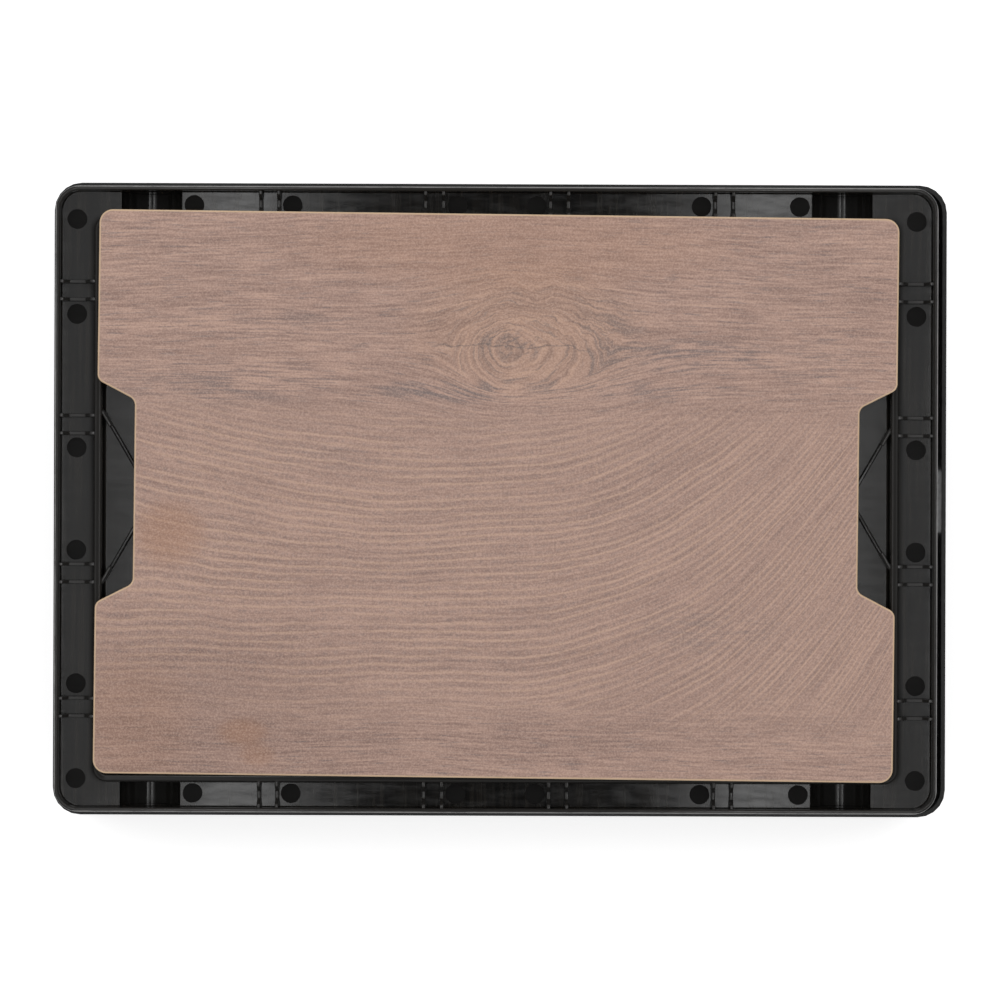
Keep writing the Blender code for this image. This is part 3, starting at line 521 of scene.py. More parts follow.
def board():
    """The table board: a laminate sheet with a thin edge band and two finger notches."""
    half_x, half_y = BOARD_HALF
    floor_x = half_x - NOTCH_DEPTH
    right = [(half_x, -half_y, BOARD_CORNER), (half_x, -NOTCH_MOUTH, NOTCH_FILLET),
             (floor_x, -NOTCH_FLOOR, NOTCH_FILLET), (floor_x, NOTCH_FLOOR, NOTCH_FILLET),
             (half_x, NOTCH_MOUTH, NOTCH_FILLET), (half_x, half_y, BOARD_CORNER)]
    left = [(-x, -y, radius) for x, y, radius in right]
    outline = filleted(right + left, 8)
    work = bmesh.new()
    low = [work.verts.new((p.x, p.y, BOARD_LOW)) for p in outline]
    high = [work.verts.new((p.x, p.y, BOARD_HIGH)) for p in outline]
    for index in range(len(low)):
        band = work.faces.new((low[index - 1], low[index], high[index], high[index - 1]))
        band.material_index = 1
    work.faces.new(low)
    work.faces.new(high)
    bmesh.ops.recalc_face_normals(work, faces=work.faces)
    rims = [edge for edge in work.edges
            if abs(edge.verts[0].co.z - edge.verts[1].co.z) < 1e-6]
    bmesh.ops.bevel(work, geom=rims, offset=BOARD_EDGE, segments=4, profile=0.5, affect="EDGES",
                    material=1)
    piece = from_bmesh(work, "board_panel")
    piece.location = (BASE_X, BOARD_Y, 0.0)
    piece.rotation_euler = (0.0, 0.0, BOARD_TURN)
    return smooth(piece)


def limited(value, low, high):
    """Keep a value between two limits, easing into them."""
    middle, free = (low + high) / 2, (high - low) / 2 - LIMIT_EASING
    beyond = abs(value - middle) - free
    if beyond <= 0.0:
        return value
    eased = free + LIMIT_EASING * math.tanh(beyond / LIMIT_EASING)
    return middle + math.copysign(eased, value - middle)


def swollen(piece, voxel, cap):
    """Blow a closed form up as padded cloth with some slack, and cap how far it moves."""
    remesh = piece.modifiers.new("even", "REMESH")
    remesh.mode = "VOXEL"
    remesh.voxel_size = voxel
    applied(piece)
    before = [vertex.co.copy() for vertex in piece.data.vertices]
    cloth = piece.modifiers.new("cloth", "CLOTH")
    cloth.settings.quality = 5
    cloth.settings.use_pressure = True
    cloth.settings.uniform_pressure_force = CLOTH_PRESSURE
    cloth.settings.shrink_min = CLOTH_SLACK
    cloth.settings.effector_weights.gravity = 0.0
    cloth.point_cache.frame_end = CLOTH_STEPS
    for step in range(1, CLOTH_STEPS + 1):
        scene.frame_set(step)
    applied(piece)
    scene.frame_set(1)
    for vertex, start in zip(piece.data.vertices, before):
        move = vertex.co - start
        if move.length > cap:
            vertex.co = start + move * (cap / move.length)
    return piece


def edge_distance(x, y):
    """How far a place lies inside the bag's rounded outline."""
    across = max(abs(x) - (BAG_HALF[0] - BAG_CORNER), 0.0)
    along = max(abs(y) - (BAG_HALF[1] - BAG_CORNER), 0.0)
    if across or along:
        return BAG_CORNER - math.hypot(across, along)
    return min(BAG_HALF[0] - abs(x), BAG_HALF[1] - abs(y))


def creased(piece, depth, seed, z_span, seam_inset):
    """Press long soft creases and a sewn seam into a pad, and keep it between two heights."""
    middle = (z_span[0] + z_span[1]) / 2
    for vertex in piece.data.vertices:
        x, y, z = vertex.co
        drift = noise.noise(Vector((x * 9.0, y * 9.0, seed)))
        point = Vector((x * 7.0 + seed, (y + drift * 0.03) * 30.0, z * 15.0))
        fold = 1.0 - abs(noise.noise(point)) * 3.2
        crease = max(fold, 0.0) ** 2 * depth
        crease += noise.noise(Vector((x * 40.0, y * 75.0, seed))) * depth * 0.3
        seam = math.exp(-((edge_distance(x, y) - seam_inset) / SEAM_WIDTH) ** 2) * SEAM_DEPTH
        inward = math.copysign(1.0, middle - z) * min(abs(z - middle) / 0.002, 1.0)
        z = limited(z, *z_span) + inward * (crease + seam)
        vertex.co = (x, y, z)


def pad(name, span, rising, falling, voxel, cap, depth, seed, seam_inset):
    """A sewn, padded part of the bag."""
    low, high = span
    levels = [level(BAG_SIZE, inset, low + lift) for inset, lift in rising]
    levels += [level(BAG_SIZE, inset, high - drop) for inset, drop in falling]
    piece = swollen(loft(levels, name), voxel, cap)
    finer = piece.modifiers.new("finer", "SUBSURF")
    finer.levels = 1
    applied(piece)
    creased(piece, depth, seed, (low + PAD_MARGIN, high - PAD_MARGIN), seam_inset)
    piece.location = (BASE_X, 0.0, 0.0)
    piece.data.shade_smooth()
    return piece


def bag_body():
    """The folded body: its side walls are tucked in along the middle, so they bulge twice."""
    return pad("bag_body", BODY_SPAN, BODY_RISING, BODY_FALLING, voxel=0.0034, cap=0.0022,
               depth=0.0010, seed=3.0, seam_inset=BODY_SEAM)


def bag_lid():
    """The lid, a thinner pad with a seam inside its edge."""
    return pad("bag_lid", LID_SPAN, LID_RISING, LID_FALLING, voxel=0.0030, cap=0.0016,
               depth=0.0006, seed=11.0, seam_inset=LID_SEAM)


def around(inset, z):
    """Points round the bag's outline at one height."""
    half_x, half_y, radius, _ = level(BAG_SIZE, inset, z)
    return [Vector((p.x, p.y, z)) for p in ring(half_x, half_y, radius, (60, 44))]


def piping(name, z):
    """A closed round cord inside the bag's edge, at one height."""
    points = around(PIPING_INSET, z)
    work = bmesh.new()
    rows = []
    for index, point in enumerate(points):
        run = (points[(index + 1) % len(points)] - points[index - 1]).normalized()
        aside = Vector((run.y, -run.x, 0.0))
        row = []
        for step in range(PIPING_SIDES):
            angle = math.tau * step / PIPING_SIDES
            lift = Vector((0.0, 0.0, PIPING_RADIUS * math.sin(angle)))
            row.append(work.verts.new(point + aside * PIPING_RADIUS * math.cos(angle) + lift))
        rows.append(row)
    for index in range(len(rows)):
        for step in range(PIPING_SIDES):
            work.faces.new((rows[index - 1][step - 1], rows[index - 1][step], rows[index][step],
                            rows[index][step - 1]))
    piece = on_base(work, name)
    piece.data.shade_smooth()
    return piece


def zip_tape():
    """The zip's tape all round, with its two rows of teeth on the outside."""
    low, high = ZIP_SPAN
    work = bmesh.new()
    rows = []
    for inset, share in TAPE_RINGS:
        z = low + (high - low) * share
        half_x, half_y, radius, _ = level(BAG_SIZE, inset, z)
        rows.append([work.verts.new((p.x, p.y, z)) for p in ring(half_x, half_y, radius)])
    for first, second in zip(rows, rows[1:] + rows[:1]):
        for index in range(len(first)):
            work.faces.new((first[index - 1], first[index], second[index], second[index - 1]))
    path = around(TEETH_INSET, (low + high) / 2)
    travel, row = 0.0, 0
    for start, end in zip(path, path[1:] + path[:1]):
        run = end - start
        while travel < run.length:
            place = start + run * (travel / run.length)
            turn = Matrix.Rotation(math.atan2(run.y, run.x), 4, "Z")
            lift = Vector((0.0, 0.0, TOOTH_LIFT if row % 2 else -TOOTH_LIFT))
            bmesh.ops.create_cube(work, size=1.0, matrix=Matrix.Translation(place + lift) @ turn @
                                  Matrix.Diagonal((*TOOTH_SIZE, 1.0)))
            travel += TOOTH_PITCH
            row += 1
        travel -= run.length
    return smooth(on_base(work, "bag_zip"))


def sliders():
    """Two zip sliders that meet at the front, each with a body, a loop and a flat pull."""
    work = bmesh.new()
    for side in (-1, 1):
        middle = Vector((side * SLIDER_X, -BAG_HALF[1] - TEETH_INSET, sum(ZIP_SPAN) / 2))
        for (outward, along), size in SLIDER_PARTS:
            place = middle + Vector((side * outward, along, 0.0))
            made = bmesh.ops.create_cube(work, size=1.0, matrix=Matrix.Translation(place) @
                                         Matrix.Diagonal((*size, 1.0)))
            edges = {edge for vertex in made["verts"] for edge in vertex.link_edges}
            bmesh.ops.bevel(work, geom=list(edges), offset=min(size) * 0.3, segments=2, profile=0.5,
                            affect="EDGES")
    return smooth(on_base(work, "zip_sliders"))


def handle(side, name):
    """A webbing handle that lies flat against the lid and curls up at the bag's edge."""
    edge, tip = side * HANDLE_END, side * HANDLE_TIP
    bends = filleted([(-HANDLE_HALF, edge, SHARP), (-HANDLE_HALF, tip, HANDLE_BEND),
                      (HANDLE_HALF, tip, HANDLE_BEND), (HANDLE_HALF, edge, SHARP)], 12)
    path = [bends[0]]
    for point in bends[1:]:
        count = max(int((point - path[-1]).length / HANDLE_STEP), 1)
        path += [path[-1].lerp(point, step / count) for step in range(1, count + 1)]
    path = [point for index, point in enumerate(path)
            if index == 0 or (point - path[index - 1]).length > LEAST_STEP]
    low, high = STRAP_SPAN
    work = bmesh.new()
    rows = []
    for index, point in enumerate(path):
        run = (path[min(index + 1, len(path) - 1)] - path[max(index - 1, 0)]).normalized()
        aside = Vector((run.y, -run.x))
        wave = STRAP_WAVE * noise.noise(Vector((point.x * 40.0, point.y * 40.0, 2.0)))
        row = []
        for across, height in STRAP_SECTION:
            place = point + aside * across * (STRAP_HALF_WIDTH - STRAP_MARGIN[0])
            lift = low + STRAP_MARGIN[1] + height * (high - low - 2 * STRAP_MARGIN[1])
            lift += HANDLE_CURL * max(1.0 - (BAG_HALF[1] - abs(place.y)) / CURL_REACH, 0.0) ** 2
            row.append(work.verts.new((place.x, place.y, lift + wave)))
        rows.append(row)
    for first, second in zip(rows, rows[1:]):
        for step in range(len(first)):
            work.faces.new((first[step - 1], first[step], second[step], second[step - 1]))
    work.faces.new(rows[0])
    work.faces.new(rows[-1])
    return smooth(on_base(work, name), 50.0)


def stitches():
    """Box stitches that fix the handles, and a row of stitches inside the lid's edge."""
    work = bmesh.new()

    def row(start, end, z):
        """A straight row of stitches."""
        run = end - start
        turn = Matrix.Rotation(math.atan2(run.y, run.x), 4, "Z")
        count = max(int(run.length / STITCH_PITCH), 1)
        for step in range(count):
            place = start.lerp(end, (step + 0.5) / count)
            bmesh.ops.create_cube(work, size=1.0, matrix=Matrix.Translation((place.x, place.y, z))
                                  @ turn @ Matrix.Diagonal((*STITCH_SIZE, 1.0)))

    for side in (-1, 1):
        for sign in (-1, 1):
            near, far = [side * y for y in BOX_STITCH_Y]
            left, right = [sign * HANDLE_HALF + way * BOX_STITCH_HALF for way in (-1, 1)]
            box = [Vector((left, near)), Vector((right, near)), Vector((right, far)),
                   Vector((left, far))]
            sides = list(zip(box, box[1:] + box[:1]))
            for start, end in sides + [(box[0], box[2]), (box[1], box[3])]:
                row(start, end, STRAP_SPAN[0] + BOX_STITCH_SINK)
    path = [point.to_2d() for point in around(EDGE_STITCH_INSET, 0.0)]
    for start, end in zip(path, path[1:] + path[:1]):
        hidden = abs(abs((start.x + end.x) / 2) - HANDLE_HALF) < STRAP_HALF_WIDTH + 0.002
        if not hidden:
            row(start, end, LID_SPAN[0] + EDGE_STITCH_SINK)
    return on_base(work, "bag_stitches")


# Materials

class Value:
    """A shader value that can be added, multiplied and so on."""

    def __init__(self, nodes, socket):
        self.nodes = nodes
        self.socket = socket

    def __add__(self, other):
        return self.nodes.math("ADD", self, other)

    def __radd__(self, other):
        return self.nodes.math("ADD", other, self)

    def __sub__(self, other):
        return self.nodes.math("SUBTRACT", self, other)

    def __rsub__(self, other):
        return self.nodes.math("SUBTRACT", other, self)

    def __mul__(self, other):
        return self.nodes.math("MULTIPLY", self, other)

    def __truediv__(self, other):
        return self.nodes.math("DIVIDE", self, other)

    def __rtruediv__(self, other):
        return self.nodes.math("DIVIDE", other, self)

    def within(self, low, high, out_low=0.0, out_high=1.0):
        """Map a range smoothly to another, clamped."""
        node = self.nodes.add("ShaderNodeMapRange", {"Value": self, "From Min": low,
                                                     "From Max": high, "To Min": out_low,
                                                     "To Max": out_high},
                              interpolation_type="SMOOTHSTEP")
        return Value(self.nodes, node.outputs[0])


def fill(tree, node, inputs):
    """Set or link a node's inputs, from {socket: number, colour, output or Value}."""
    for key, value in dict(inputs).items():
        value = value.socket if isinstance(value, Value) else value
        if isinstance(value, bpy.types.NodeSocket):
            tree.links.new(value, node.inputs[key])
        elif node.inputs[key].type == "RGBA":
            node.inputs[key].default_value = (*value, 1.0)
        else:
            node.inputs[key].default_value = value
    return node


def add_node(tree, kind, inputs=(), **settings):
    """Add a node with its settings and inputs."""
    node = tree.nodes.new(kind)
    for key, value in settings.items():
        setattr(node, key, value)
    return fill(tree, node, inputs)


class Nodes:
    """Short ways to build a material."""

    def __init__(self, name, roughness=0.5, metallic=0.0, **sockets):
        self.material = bpy.data.materials.new(name)
        self.material.use_nodes = True
        self.tree = self.material.node_tree
        self.shader = self.tree.nodes["Principled BSDF"]
        self.place = self.add("ShaderNodeTexCoord").outputs["Object"]
        self.give(Roughness=roughness, Metallic=metallic, **sockets)

    def add(self, kind, inputs=(), **settings):
        """Add a node to the material."""
        return add_node(self.tree, kind, inputs, **settings)

    def math(self, operation, first, second=0.0):
        """A sum on numbers."""
        node = self.add("ShaderNodeMath", {0: first, 1: second}, operation=operation)
        return Value(self, node.outputs[0])

    def axes(self):
        """The three coordinates of the object."""
        node = self.add("ShaderNodeSeparateXYZ", {0: self.place})
        return [Value(self, output) for output in node.outputs]

    def point(self, x, y, z=0.0):
        """A point made of three values."""
        return self.add("ShaderNodeCombineXYZ", {0: x, 1: y, 2: z}).outputs[0]

    def mapped(self, scale, turn=0.0):
        """Coordinates that are turned about Z and scaled."""
        return self.add("ShaderNodeMapping", {"Vector": self.place, "Scale": scale,
                                              "Rotation": (0, 0, turn)}).outputs[0]

    def noise(self, scale, detail=2.0, rough=0.5, source=None):
        """Noise, from 0 to 1."""
        node = self.add("ShaderNodeTexNoise", {"Vector": source or self.place, "Scale": scale,
                                               "Detail": detail, "Roughness": rough})
        return Value(self, node.outputs["Fac"])

    def stretched(self, x, y, z, detail, rough):
        """Noise at a point made of three values, whose scale they carry."""
        return self.noise(1.0, detail, rough, self.point(x, y, z))

    def blob(self, x, y, centre, size):
        """A soft spot, 1 at its centre and 0 outside its size."""
        across = (x - centre[0]) / size[0]
        along = (y - centre[1]) / size[1]
        return (across * across + along * along).within(0.0, 1.0, 1.0, 0.0)

    def mix(self, factor, first, second, blend="MIX"):
        """Mix two colours."""
        node = self.add("ShaderNodeMix", {0: factor, 6: first, 7: second}, data_type="RGBA",
                        blend_type=blend)
        return node.outputs[2]

    def bump(self, height, distance, strength=1.0, below=None):
        """A bump, on top of another one."""
        inputs = {"Height": height, "Distance": distance, "Strength": strength}
        if below:
            inputs["Normal"] = below
        return self.add("ShaderNodeBump", inputs).outputs[0]

    def give(self, **values):
        """Set or link the shader's sockets."""
        fill(self.tree, self.shader, {key.replace("_", " "): values[key] for key in values})
        return self.material


def black_plastic(name, tone, roughness, grain=0.00002, shine=0.35, drag=0.0):
    """Moulded black plastic: fine grain, scuffs, dust and slightly rounded edges. With drag it is
    the base's, which also has drag marks, walls made lighter by painted light, a lighter floor
    and a painted highlight along the rim's outer edge."""
    n = Nodes(name, Specular_IOR_Level=shine)
    cloud = n.noise(9.0, 4.0, 0.6)
    scuffs = n.noise(55.0, 6.0, 0.7, n.mapped((1.0, 5.0, 1.0), 0.5))
    dust = n.noise(2600.0, 2.0, 0.6).within(0.70, 0.80)
    deep = (tone * 0.8, tone * 0.77, tone * 0.75)
    colour = n.mix(cloud, deep, (tone * 1.2, tone * 1.15, tone * 1.1))
    colour = n.mix(dust * 0.3, colour, DUST_TINT)
    rough = roughness + scuffs.within(0.35, 0.75) * 0.08 + cloud * 0.05 - 0.04
    if drag:
        pulled = n.noise(380.0, 3.0, 0.65, n.mapped((1.0, 0.035, 1.0)))
        rough = rough + (pulled - 0.5) * drag
        x, y, z = n.axes()
        colour = n.mix(pulled.within(0.35, 0.70), colour, DRAG_TINT)
        # Painted light: everything above the channel's floor, the walls and the ridge, is coloured
        # lighter
        colour = n.mix(z.within(CHANNEL_HIGH + 0.0004, CHANNEL_HIGH + 0.002), colour, PAINTED_WALL_LIGHT)
        colour = n.mix(z.within(FLOOR_HIGH + 0.0014, FLOOR_HIGH + 0.0004), colour, FLOOR_TINT)
        # Painted highlight: a thin, broken light line along the rounded outer edge of the wall top,
        # made rougher there
        out = n.math("MAXIMUM", n.math("ABSOLUTE", x) - BASE_OUTER[0],
                     n.math("ABSOLUTE", y) - BASE_OUTER[1])
        rim_highlight = out.within(-0.0009, -0.0004) * z.within(BASE_HIGH - 0.0014, BASE_HIGH - 0.0006)
        rim_highlight = rim_highlight * n.noise(45.0, 5.0, 0.7).within(0.30, 0.62, 0.35, 1.0)
        colour = n.mix(rim_highlight, colour, PAINTED_RIM_HIGHLIGHT)
        rough = rough + rim_highlight * 0.3
    edge = n.add("ShaderNodeBevel", {"Radius": 0.0005}, samples=4).outputs[0]
    normal = n.bump(n.noise(22.0), 0.0004, 0.3, edge)
    normal = n.bump(n.noise(900.0, 3.0, 0.6), grain, 0.6, normal)
    return n.give(Base_Color=colour, Roughness=rough, Normal=normal)


def steel(name):
    """Zinc-plated rod with draw lines along it."""
    n = Nodes(name, 0.3, 1.0)
    lines = n.noise(400.0, 3.0, 0.6, n.mapped((0.02, 1.0, 1.0)))
    tarnish = n.noise(35.0, 4.0, 0.6)
    colour = n.mix(tarnish, (0.42, 0.43, 0.45), (0.62, 0.63, 0.65))
    return n.give(Base_Color=colour, Roughness=tarnish * 0.25 + 0.18,
                  Normal=n.bump(lines, 0.00003, 0.5))


def laminate(name):
    """Wood-decor laminate: streaks that part round one knot, then flat-sawn arcs, then streaks."""
    n = Nodes(name, 0.5, Specular_IOR_Level=0.25)
    x, y, _ = n.axes()
    sway = n.noise(7.0, 1.0, 0.5) - 0.5
    ripple = n.noise(30.0, 2.0, 0.5) - 0.5

    # Height in the streaks, which part round the knot. Its rings bulge to the right
    wobble = (n.noise(60.0, 3.0, 0.6) - 0.5) * n.blob(x, y, (0.022, 0.081), (0.085, 0.055))
    near_x = (x - KNOT[0]) / (x - KNOT[0]).within(-0.010, 0.030, 1.25, 2.1)
    near_y = y - KNOT[1] + wobble * 0.007
    reach = n.math("SQRT", near_x * near_x + near_y * near_y + 0.00001) + wobble * 0.008
    core = KNOT_RADIUS ** 2
    part = 1.0 - core / n.math("MAXIMUM", reach * reach, core) * 0.75
    rings = n.math("MINIMUM", reach - KNOT_RADIUS, 0.0) * 0.9
    upper = near_y * part + rings + sway * 0.012 + ripple * 0.0008

    # Height in the flat-sawn arcs below, low in the middle and steep at the right
    rise = n.math("MAXIMUM", (x + 0.060) / 0.25, 0.0)
    fall = n.math("MAXIMUM", (-0.060 - x) / 0.16, 0.0)
    lower = y - rise * rise * rise * 0.118 - fall * fall * 0.030 * y.within(-0.10, 0.03) \
        + sway * 0.020 + ripple * 0.0030

    # Where the arcs show, and where the streaks do
    arcs = (y + sway * 0.05 + ripple * 0.02).within(0.058, 0.018) * \
        (y + sway * 0.04 + ripple * 0.02).within(-0.135, -0.090)
    streaks = 1.0 - arcs

    def streaked(grain, shift):
        """Broad, middle and thin streaks along a grain."""
        broad = n.stretched(x * 5.0 + shift, grain * 60.0, 0.0, 3.0, 0.55)
        middle = n.stretched(x * 14.0 + shift, grain * 230.0, 3.0, 5.0, 0.62)
        thin = n.stretched(x * 42.0 + shift, grain * 800.0, 6.0, 3.0, 0.6)
        return broad * 0.20 + middle * 0.26 + thin * 0.54

    plain = streaked(upper, 0.0)
    flat = streaked(lower, 9.0)
    body = plain.within(0.37, 0.61) * streaks + flat.within(0.30, 0.68) * arcs
    colour = n.mix(body, DARK, PALE)

    # Pale lines along the arcs, and grey rungs between them
    wave = n.math("SINE", (lower + ripple * 0.0007) * (math.tau / ARC_PITCH))
    broken = n.stretched(x * 18.0, lower * 110.0, 4.0, 2.0, 0.5).within(0.34, 0.54)
    colour = n.mix(arcs * (wave.within(0.30, 1.0) * broken) * 0.62, colour, TAN)
    ladder = n.stretched(x * 520.0, lower * 420.0, 7.0, 2.0, 0.6).within(0.42, 0.60)
    colour = n.mix(arcs * wave.within(0.1, -0.9) * ladder * 0.34, colour, GREY)

    # Pale streaks, grey dashes in them and grey ticks on the arcs
    colour = n.mix(streaks * plain.within(0.54, 0.62) * 0.35, colour, TAN)
    dashes = n.stretched(x * 60.0, upper * 900.0, 2.0, 2.0, 0.6).within(0.55, 0.68)
    colour = n.mix(streaks * dashes * 0.62, colour, GREY)
    ticks = n.stretched(x * 150.0, lower * 760.0, 5.0, 2.0, 0.6).within(0.57, 0.72)
    colour = n.mix(arcs * ticks * 0.34, colour, GREY)

    for centre, size, strength in GREY_PATCHES:
        mask = n.blob(x, y, centre, size) * plain.within(0.53, 0.42)
        colour = n.mix(mask * strength, colour, GREY)
    for centre, size, strength in RED_PATCHES:
        colour = n.mix(n.blob(x, y, centre, size) * strength, colour, RED)
    # Painted shade: darken the board towards the bottom left and along the bottom edge
    for centre, size, strength in PAINTED_SHADE_PATCHES:
        colour = n.mix(n.blob(x, y, centre, size) * strength, colour, SHADE, "MULTIPLY")

    # The knot's warm tan, its eye and its crack, and the scratches across the arcs
    warm = n.blob(x, y, (0.014, 0.090), (0.080, 0.045))
    colour = n.mix(warm * 0.80, colour, WARMTH, "MULTIPLY")
    strokes = n.stretched((x + y) * 110.0, (x * -0.6 + y) * 420.0, 1.0, 3.0, 0.6)
    eye = n.blob(x, y, KNOT, (0.022, 0.011)) * strokes.within(0.50, 0.38)
    colour = n.mix(eye * 0.60, colour, EYE_TINT)
    crack_y = y - KNOT[1] + wobble * 0.012 + sway * 0.012
    crack = (crack_y * crack_y).within(0.0, 0.0000003, 1.0, 0.0) * \
        x.within(-0.040, -0.028) * x.within(0.040, 0.055, 1.0, 0.0)
    colour = n.mix(crack * 0.6, colour, CRACK_TINT)
    scratch = n.stretched(x * 420.0, y * 45.0, 8.0, 1.0, 0.5).within(0.70, 0.80)
    colour = n.mix(n.blob(x, y, (0.110, 0.000), (0.130, 0.045)) * scratch * 0.5, colour, TAN)

    # Fine fibre and speckle over all of it
    speckle = n.noise(950.0, 2.0, 0.75)
    fine = n.noise(520.0, 2.0, 0.6)
    colour = n.mix(fine.within(0.35, 0.65) * 0.12, colour, FIBRE_TINT)
    colour = n.mix(speckle.within(0.44, 0.66) * 0.34, colour, PALE_SPECK)
    colour = n.mix(speckle.within(0.50, 0.30) * 0.40, colour, DARK_SPECK)
    normal = n.bump(fine, 0.00004, 0.4, n.bump(speckle, 0.00003, 0.3))
    return n.give(Base_Color=colour, Roughness=speckle * 0.14 + 0.44, Normal=normal)


def edge_band(name):
    """The board's thin tan edge."""
    n = Nodes(name, 0.45)
    tint = n.noise(40.0, 4.0, 0.6)
    colour = n.mix(tint, (0.52, 0.35, 0.21), (0.68, 0.50, 0.34))
    return n.give(Base_Color=colour, Normal=n.bump(n.noise(700.0), 0.00003, 0.4))


def woven(name, dark, light, pitch):
    """Plain woven cloth."""
    n = Nodes(name, 0.85, Sheen_Weight=0.3)
    waves = {"Vector": n.place, "Scale": 0.16 / pitch, "Distortion": 0.6, "Detail": 1.0}
    warp, weft = [Value(n, n.add("ShaderNodeTexWave", waves, bands_direction=way).outputs["Fac"])
                  for way in "XY"]
    weave = warp * weft
    colour = n.mix(weave * 0.6 + n.noise(30.0, 4.0, 0.6) * 0.4, dark, light)
    return n.give(Base_Color=colour, Normal=n.bump(weave, pitch * 0.2, 0.5))


FINISHES = {
    "rim_plastic": black_plastic("rim_plastic_look", 0.0045, 0.30),
    "base_plastic": black_plastic("base_plastic_look", 0.0040, 0.115, 0.000005, drag=0.06),
    "wall_plastic": black_plastic("wall_plastic_look", 0.006, 0.36),
    "end_plastic": black_plastic("end_plastic_look", 0.006, 0.36),
    "rod_steel": steel("rod_steel_look"),
    "board_laminate": laminate("board_laminate_look"),
    "bag_fabric": woven("bag_fabric_look", (0.035, 0.038, 0.042), (0.085, 0.09, 0.10), 0.0007),
    "zip_tape": woven("zip_tape_look", (0.008, 0.008, 0.008), (0.03, 0.03, 0.03), 0.0004),
    "bag_webbing": woven("bag_webbing_look", (0.012, 0.012, 0.012), (0.04, 0.04, 0.04), 0.0015),
}
mark_look = black_plastic("ejector_mark_look", 0.0085, 0.75, 0.00004, 0.2)
edge_look = edge_band("board_edge_look")

# Finishes of the carried-over nodes, then the pieces that replace or dress the others

for item in frame["record"]["subparts"]:
    materials = frame["nodes"][item["node"]].data.materials
    materials.clear()
    materials.append(FINISHES[item["material_slot"]])

base_piece = fine_base()
base_piece.data.materials.clear()
base_piece.data.materials.append(FINISHES["base_plastic"])
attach(base_piece, "base")
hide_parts("base_tray")

mark_piece = marks()
mark_piece.data.materials.append(mark_look)
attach(mark_piece, "base")

board_piece = board()
board_piece.data.materials.append(FINISHES["board_laminate"])
board_piece.data.materials.append(edge_look)
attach(board_piece, "board")
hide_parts("table_board")

# The bag's pieces: each with its slot and the node that it replaces
body_piece = bag_body()
lid_piece = bag_lid()
bag_pieces = ((body_piece, "bag_fabric", "cooler_bag_body"),
              (lid_piece, "bag_fabric", "cooler_bag_lid"),
              (piping("bag_piping_low", PIPING_LOW_Z), "bag_webbing", None),
              (piping("bag_piping_high", PIPING_HIGH_Z), "bag_webbing", None),
              (zip_tape(), "zip_tape", "cooler_bag_zip"),
              (sliders(), "rod_steel", None),
              (handle(-1, "handle_front"), "bag_webbing", "bag_handle_front"),
              (handle(1, "handle_back"), "bag_webbing", "bag_handle_back"),
              (stitches(), "bag_webbing", None))
for piece, slot, replaced in bag_pieces:
    piece.data.materials.append(FINISHES[slot])
    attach(piece, "base")
    if replaced:
        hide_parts(replaced)

# Camera

camera_data = bpy.data.cameras.new("camera")
camera_data.sensor_width = 36.0
camera_data.lens = 133.05
camera = bpy.data.objects.new("camera", camera_data)
camera.location = (0.0001, 0.0, 2.080)
camera.rotation_euler = (0.0, 0.0, math.radians(0.20))
scene.collection.objects.link(camera)
scene.camera = camera

# Light


def lamp(name, x, y, z, size_x, size_y, power, mirrored=True):
    """A rectangular lamp turned down towards the Y axis. Only a mirrored one shows in gloss."""
    data = bpy.data.lights.new(name, "AREA")
    data.shape = "RECTANGLE"
    data.size = size_x
    data.size_y = size_y
    data.energy = power
    piece = bpy.data.objects.new(name, data)
    piece.location = (x, y, z)
    piece.rotation_euler = (0.0, math.atan2(x, z), 0.0)
    piece.visible_glossy = mirrored
    scene.collection.objects.link(piece)


for side, word in ((-1, "left"), (1, "right")):
    lamp(word + "_strip", side * 0.285, 0.0, 2.09, 0.110, 1.6, 2.8)
    lamp(word + "_softbox", side * 1.3, 1.0, 1.6, 1.0, 1.6, 8.3, mirrored=False)


def computed(tree, kind, inputs, **settings):
    """Add a node and give its first output."""
    return add_node(tree, kind, inputs, **settings).outputs[0]


def ranged(tree, value, low, high, out_low=0.0, out_high=1.0):
    """Map a range to another, clamped."""
    return computed(tree, "ShaderNodeMapRange", {"Value": value, "From Min": low, "From Max": high,
                                                 "To Min": out_low, "To Max": out_high})


def larger(tree, first, second):
    """The larger of two values."""
    return computed(tree, "ShaderNodeMath", {0: first, 1: second}, operation="MAXIMUM")


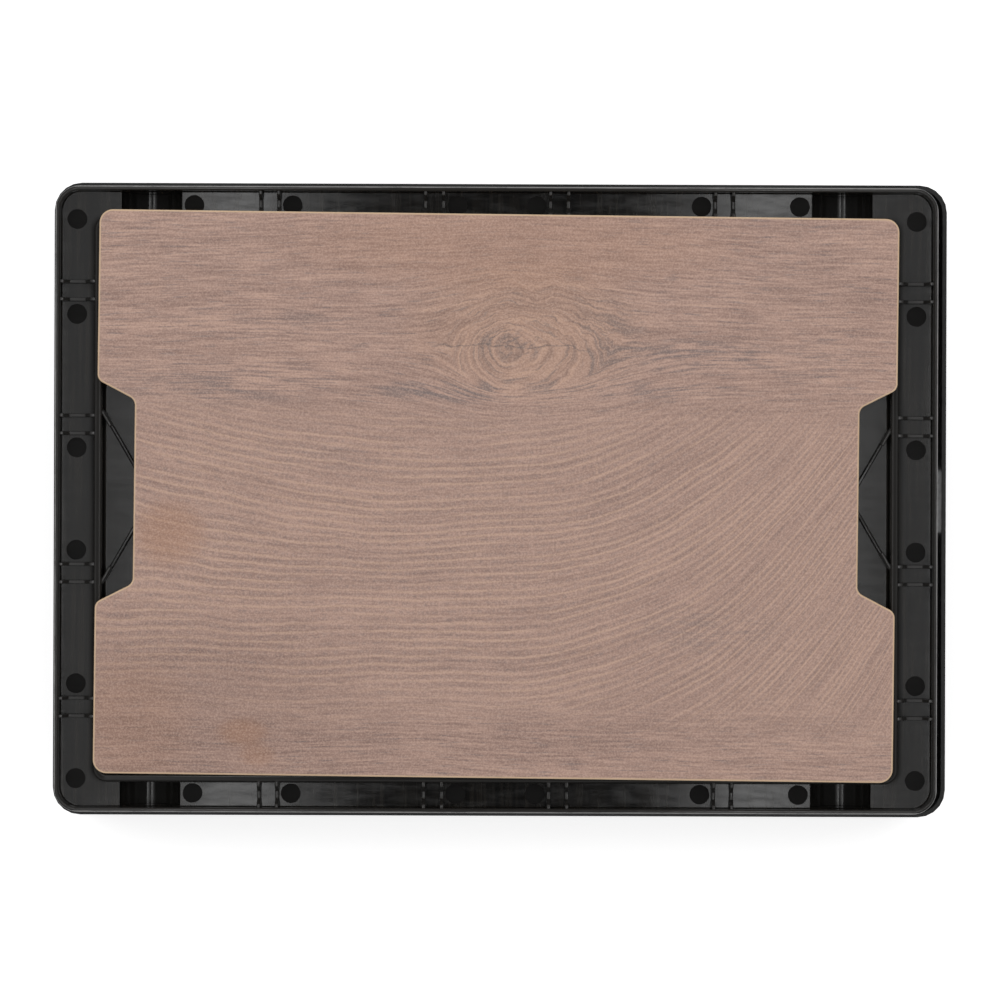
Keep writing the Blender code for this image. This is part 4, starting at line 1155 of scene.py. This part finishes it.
# The world lights evenly. In gloss it is dark straight above, bright in a band on either side of
# that, dim further out and grey near the horizon
world = bpy.data.worlds.new("studio")
world.use_nodes = True
scene.world = world
tree = world.node_tree
rays = tree.nodes.new("ShaderNodeLightPath").outputs
way = add_node(tree, "ShaderNodeTexCoord").outputs["Generated"]
across = add_node(tree, "ShaderNodeSeparateXYZ", {0: way}).outputs
aside = computed(tree, "ShaderNodeMath", {0: across["X"]}, operation="ABSOLUTE")
above = computed(tree, "ShaderNodeMath", {0: ranged(tree, aside, 0.072, 0.082, 0.03, 1.0),
                                          1: ranged(tree, aside, 0.14, 0.24, 1.0, 0.07)},
                 operation="MULTIPLY")
height = ranged(tree, across["Z"], 0.30, 0.55)
gloss = computed(tree, "ShaderNodeMix", {0: height, 2: 0.45, 3: above})
unseen = computed(tree, "ShaderNodeMix", {0: rays["Is Glossy Ray"], 2: 0.62, 3: gloss})
seen = larger(tree, rays["Is Camera Ray"], rays["Is Transmission Ray"])
strength = computed(tree, "ShaderNodeMix", {0: seen, 2: unseen, 3: 1.0})
fill(tree, tree.nodes["Background"], {"Color": (1.0, 1.0, 1.0), "Strength": strength})

# The floor glows to the camera, in gloss and through glass, and keeps the object's shadow
work = bmesh.new()
bmesh.ops.create_grid(work, x_segments=1, y_segments=1, size=20.0)
floor = from_bmesh(work, "floor")
floor.location = (0.0, 0.0, -0.0002)
floor_look = bpy.data.materials.new("floor_look")
floor_look.use_nodes = True
tree = floor_look.node_tree
rays = tree.nodes.new("ShaderNodeLightPath").outputs
seen = larger(tree, larger(tree, rays["Is Camera Ray"], rays["Is Glossy Ray"]),
              rays["Is Transmission Ray"])
glow = computed(tree, "ShaderNodeMath", {0: seen, 1: 0.56}, operation="MULTIPLY")
fill(tree, tree.nodes["Principled BSDF"],
     {"Base Color": (0.80, 0.80, 0.80), "Roughness": 0.9, "Specular IOR Level": 0.0,
      "Emission Color": (1.0, 1.0, 1.0), "Emission Strength": glow})
floor.data.materials.append(floor_look)

scene.view_settings.view_transform = "Standard"
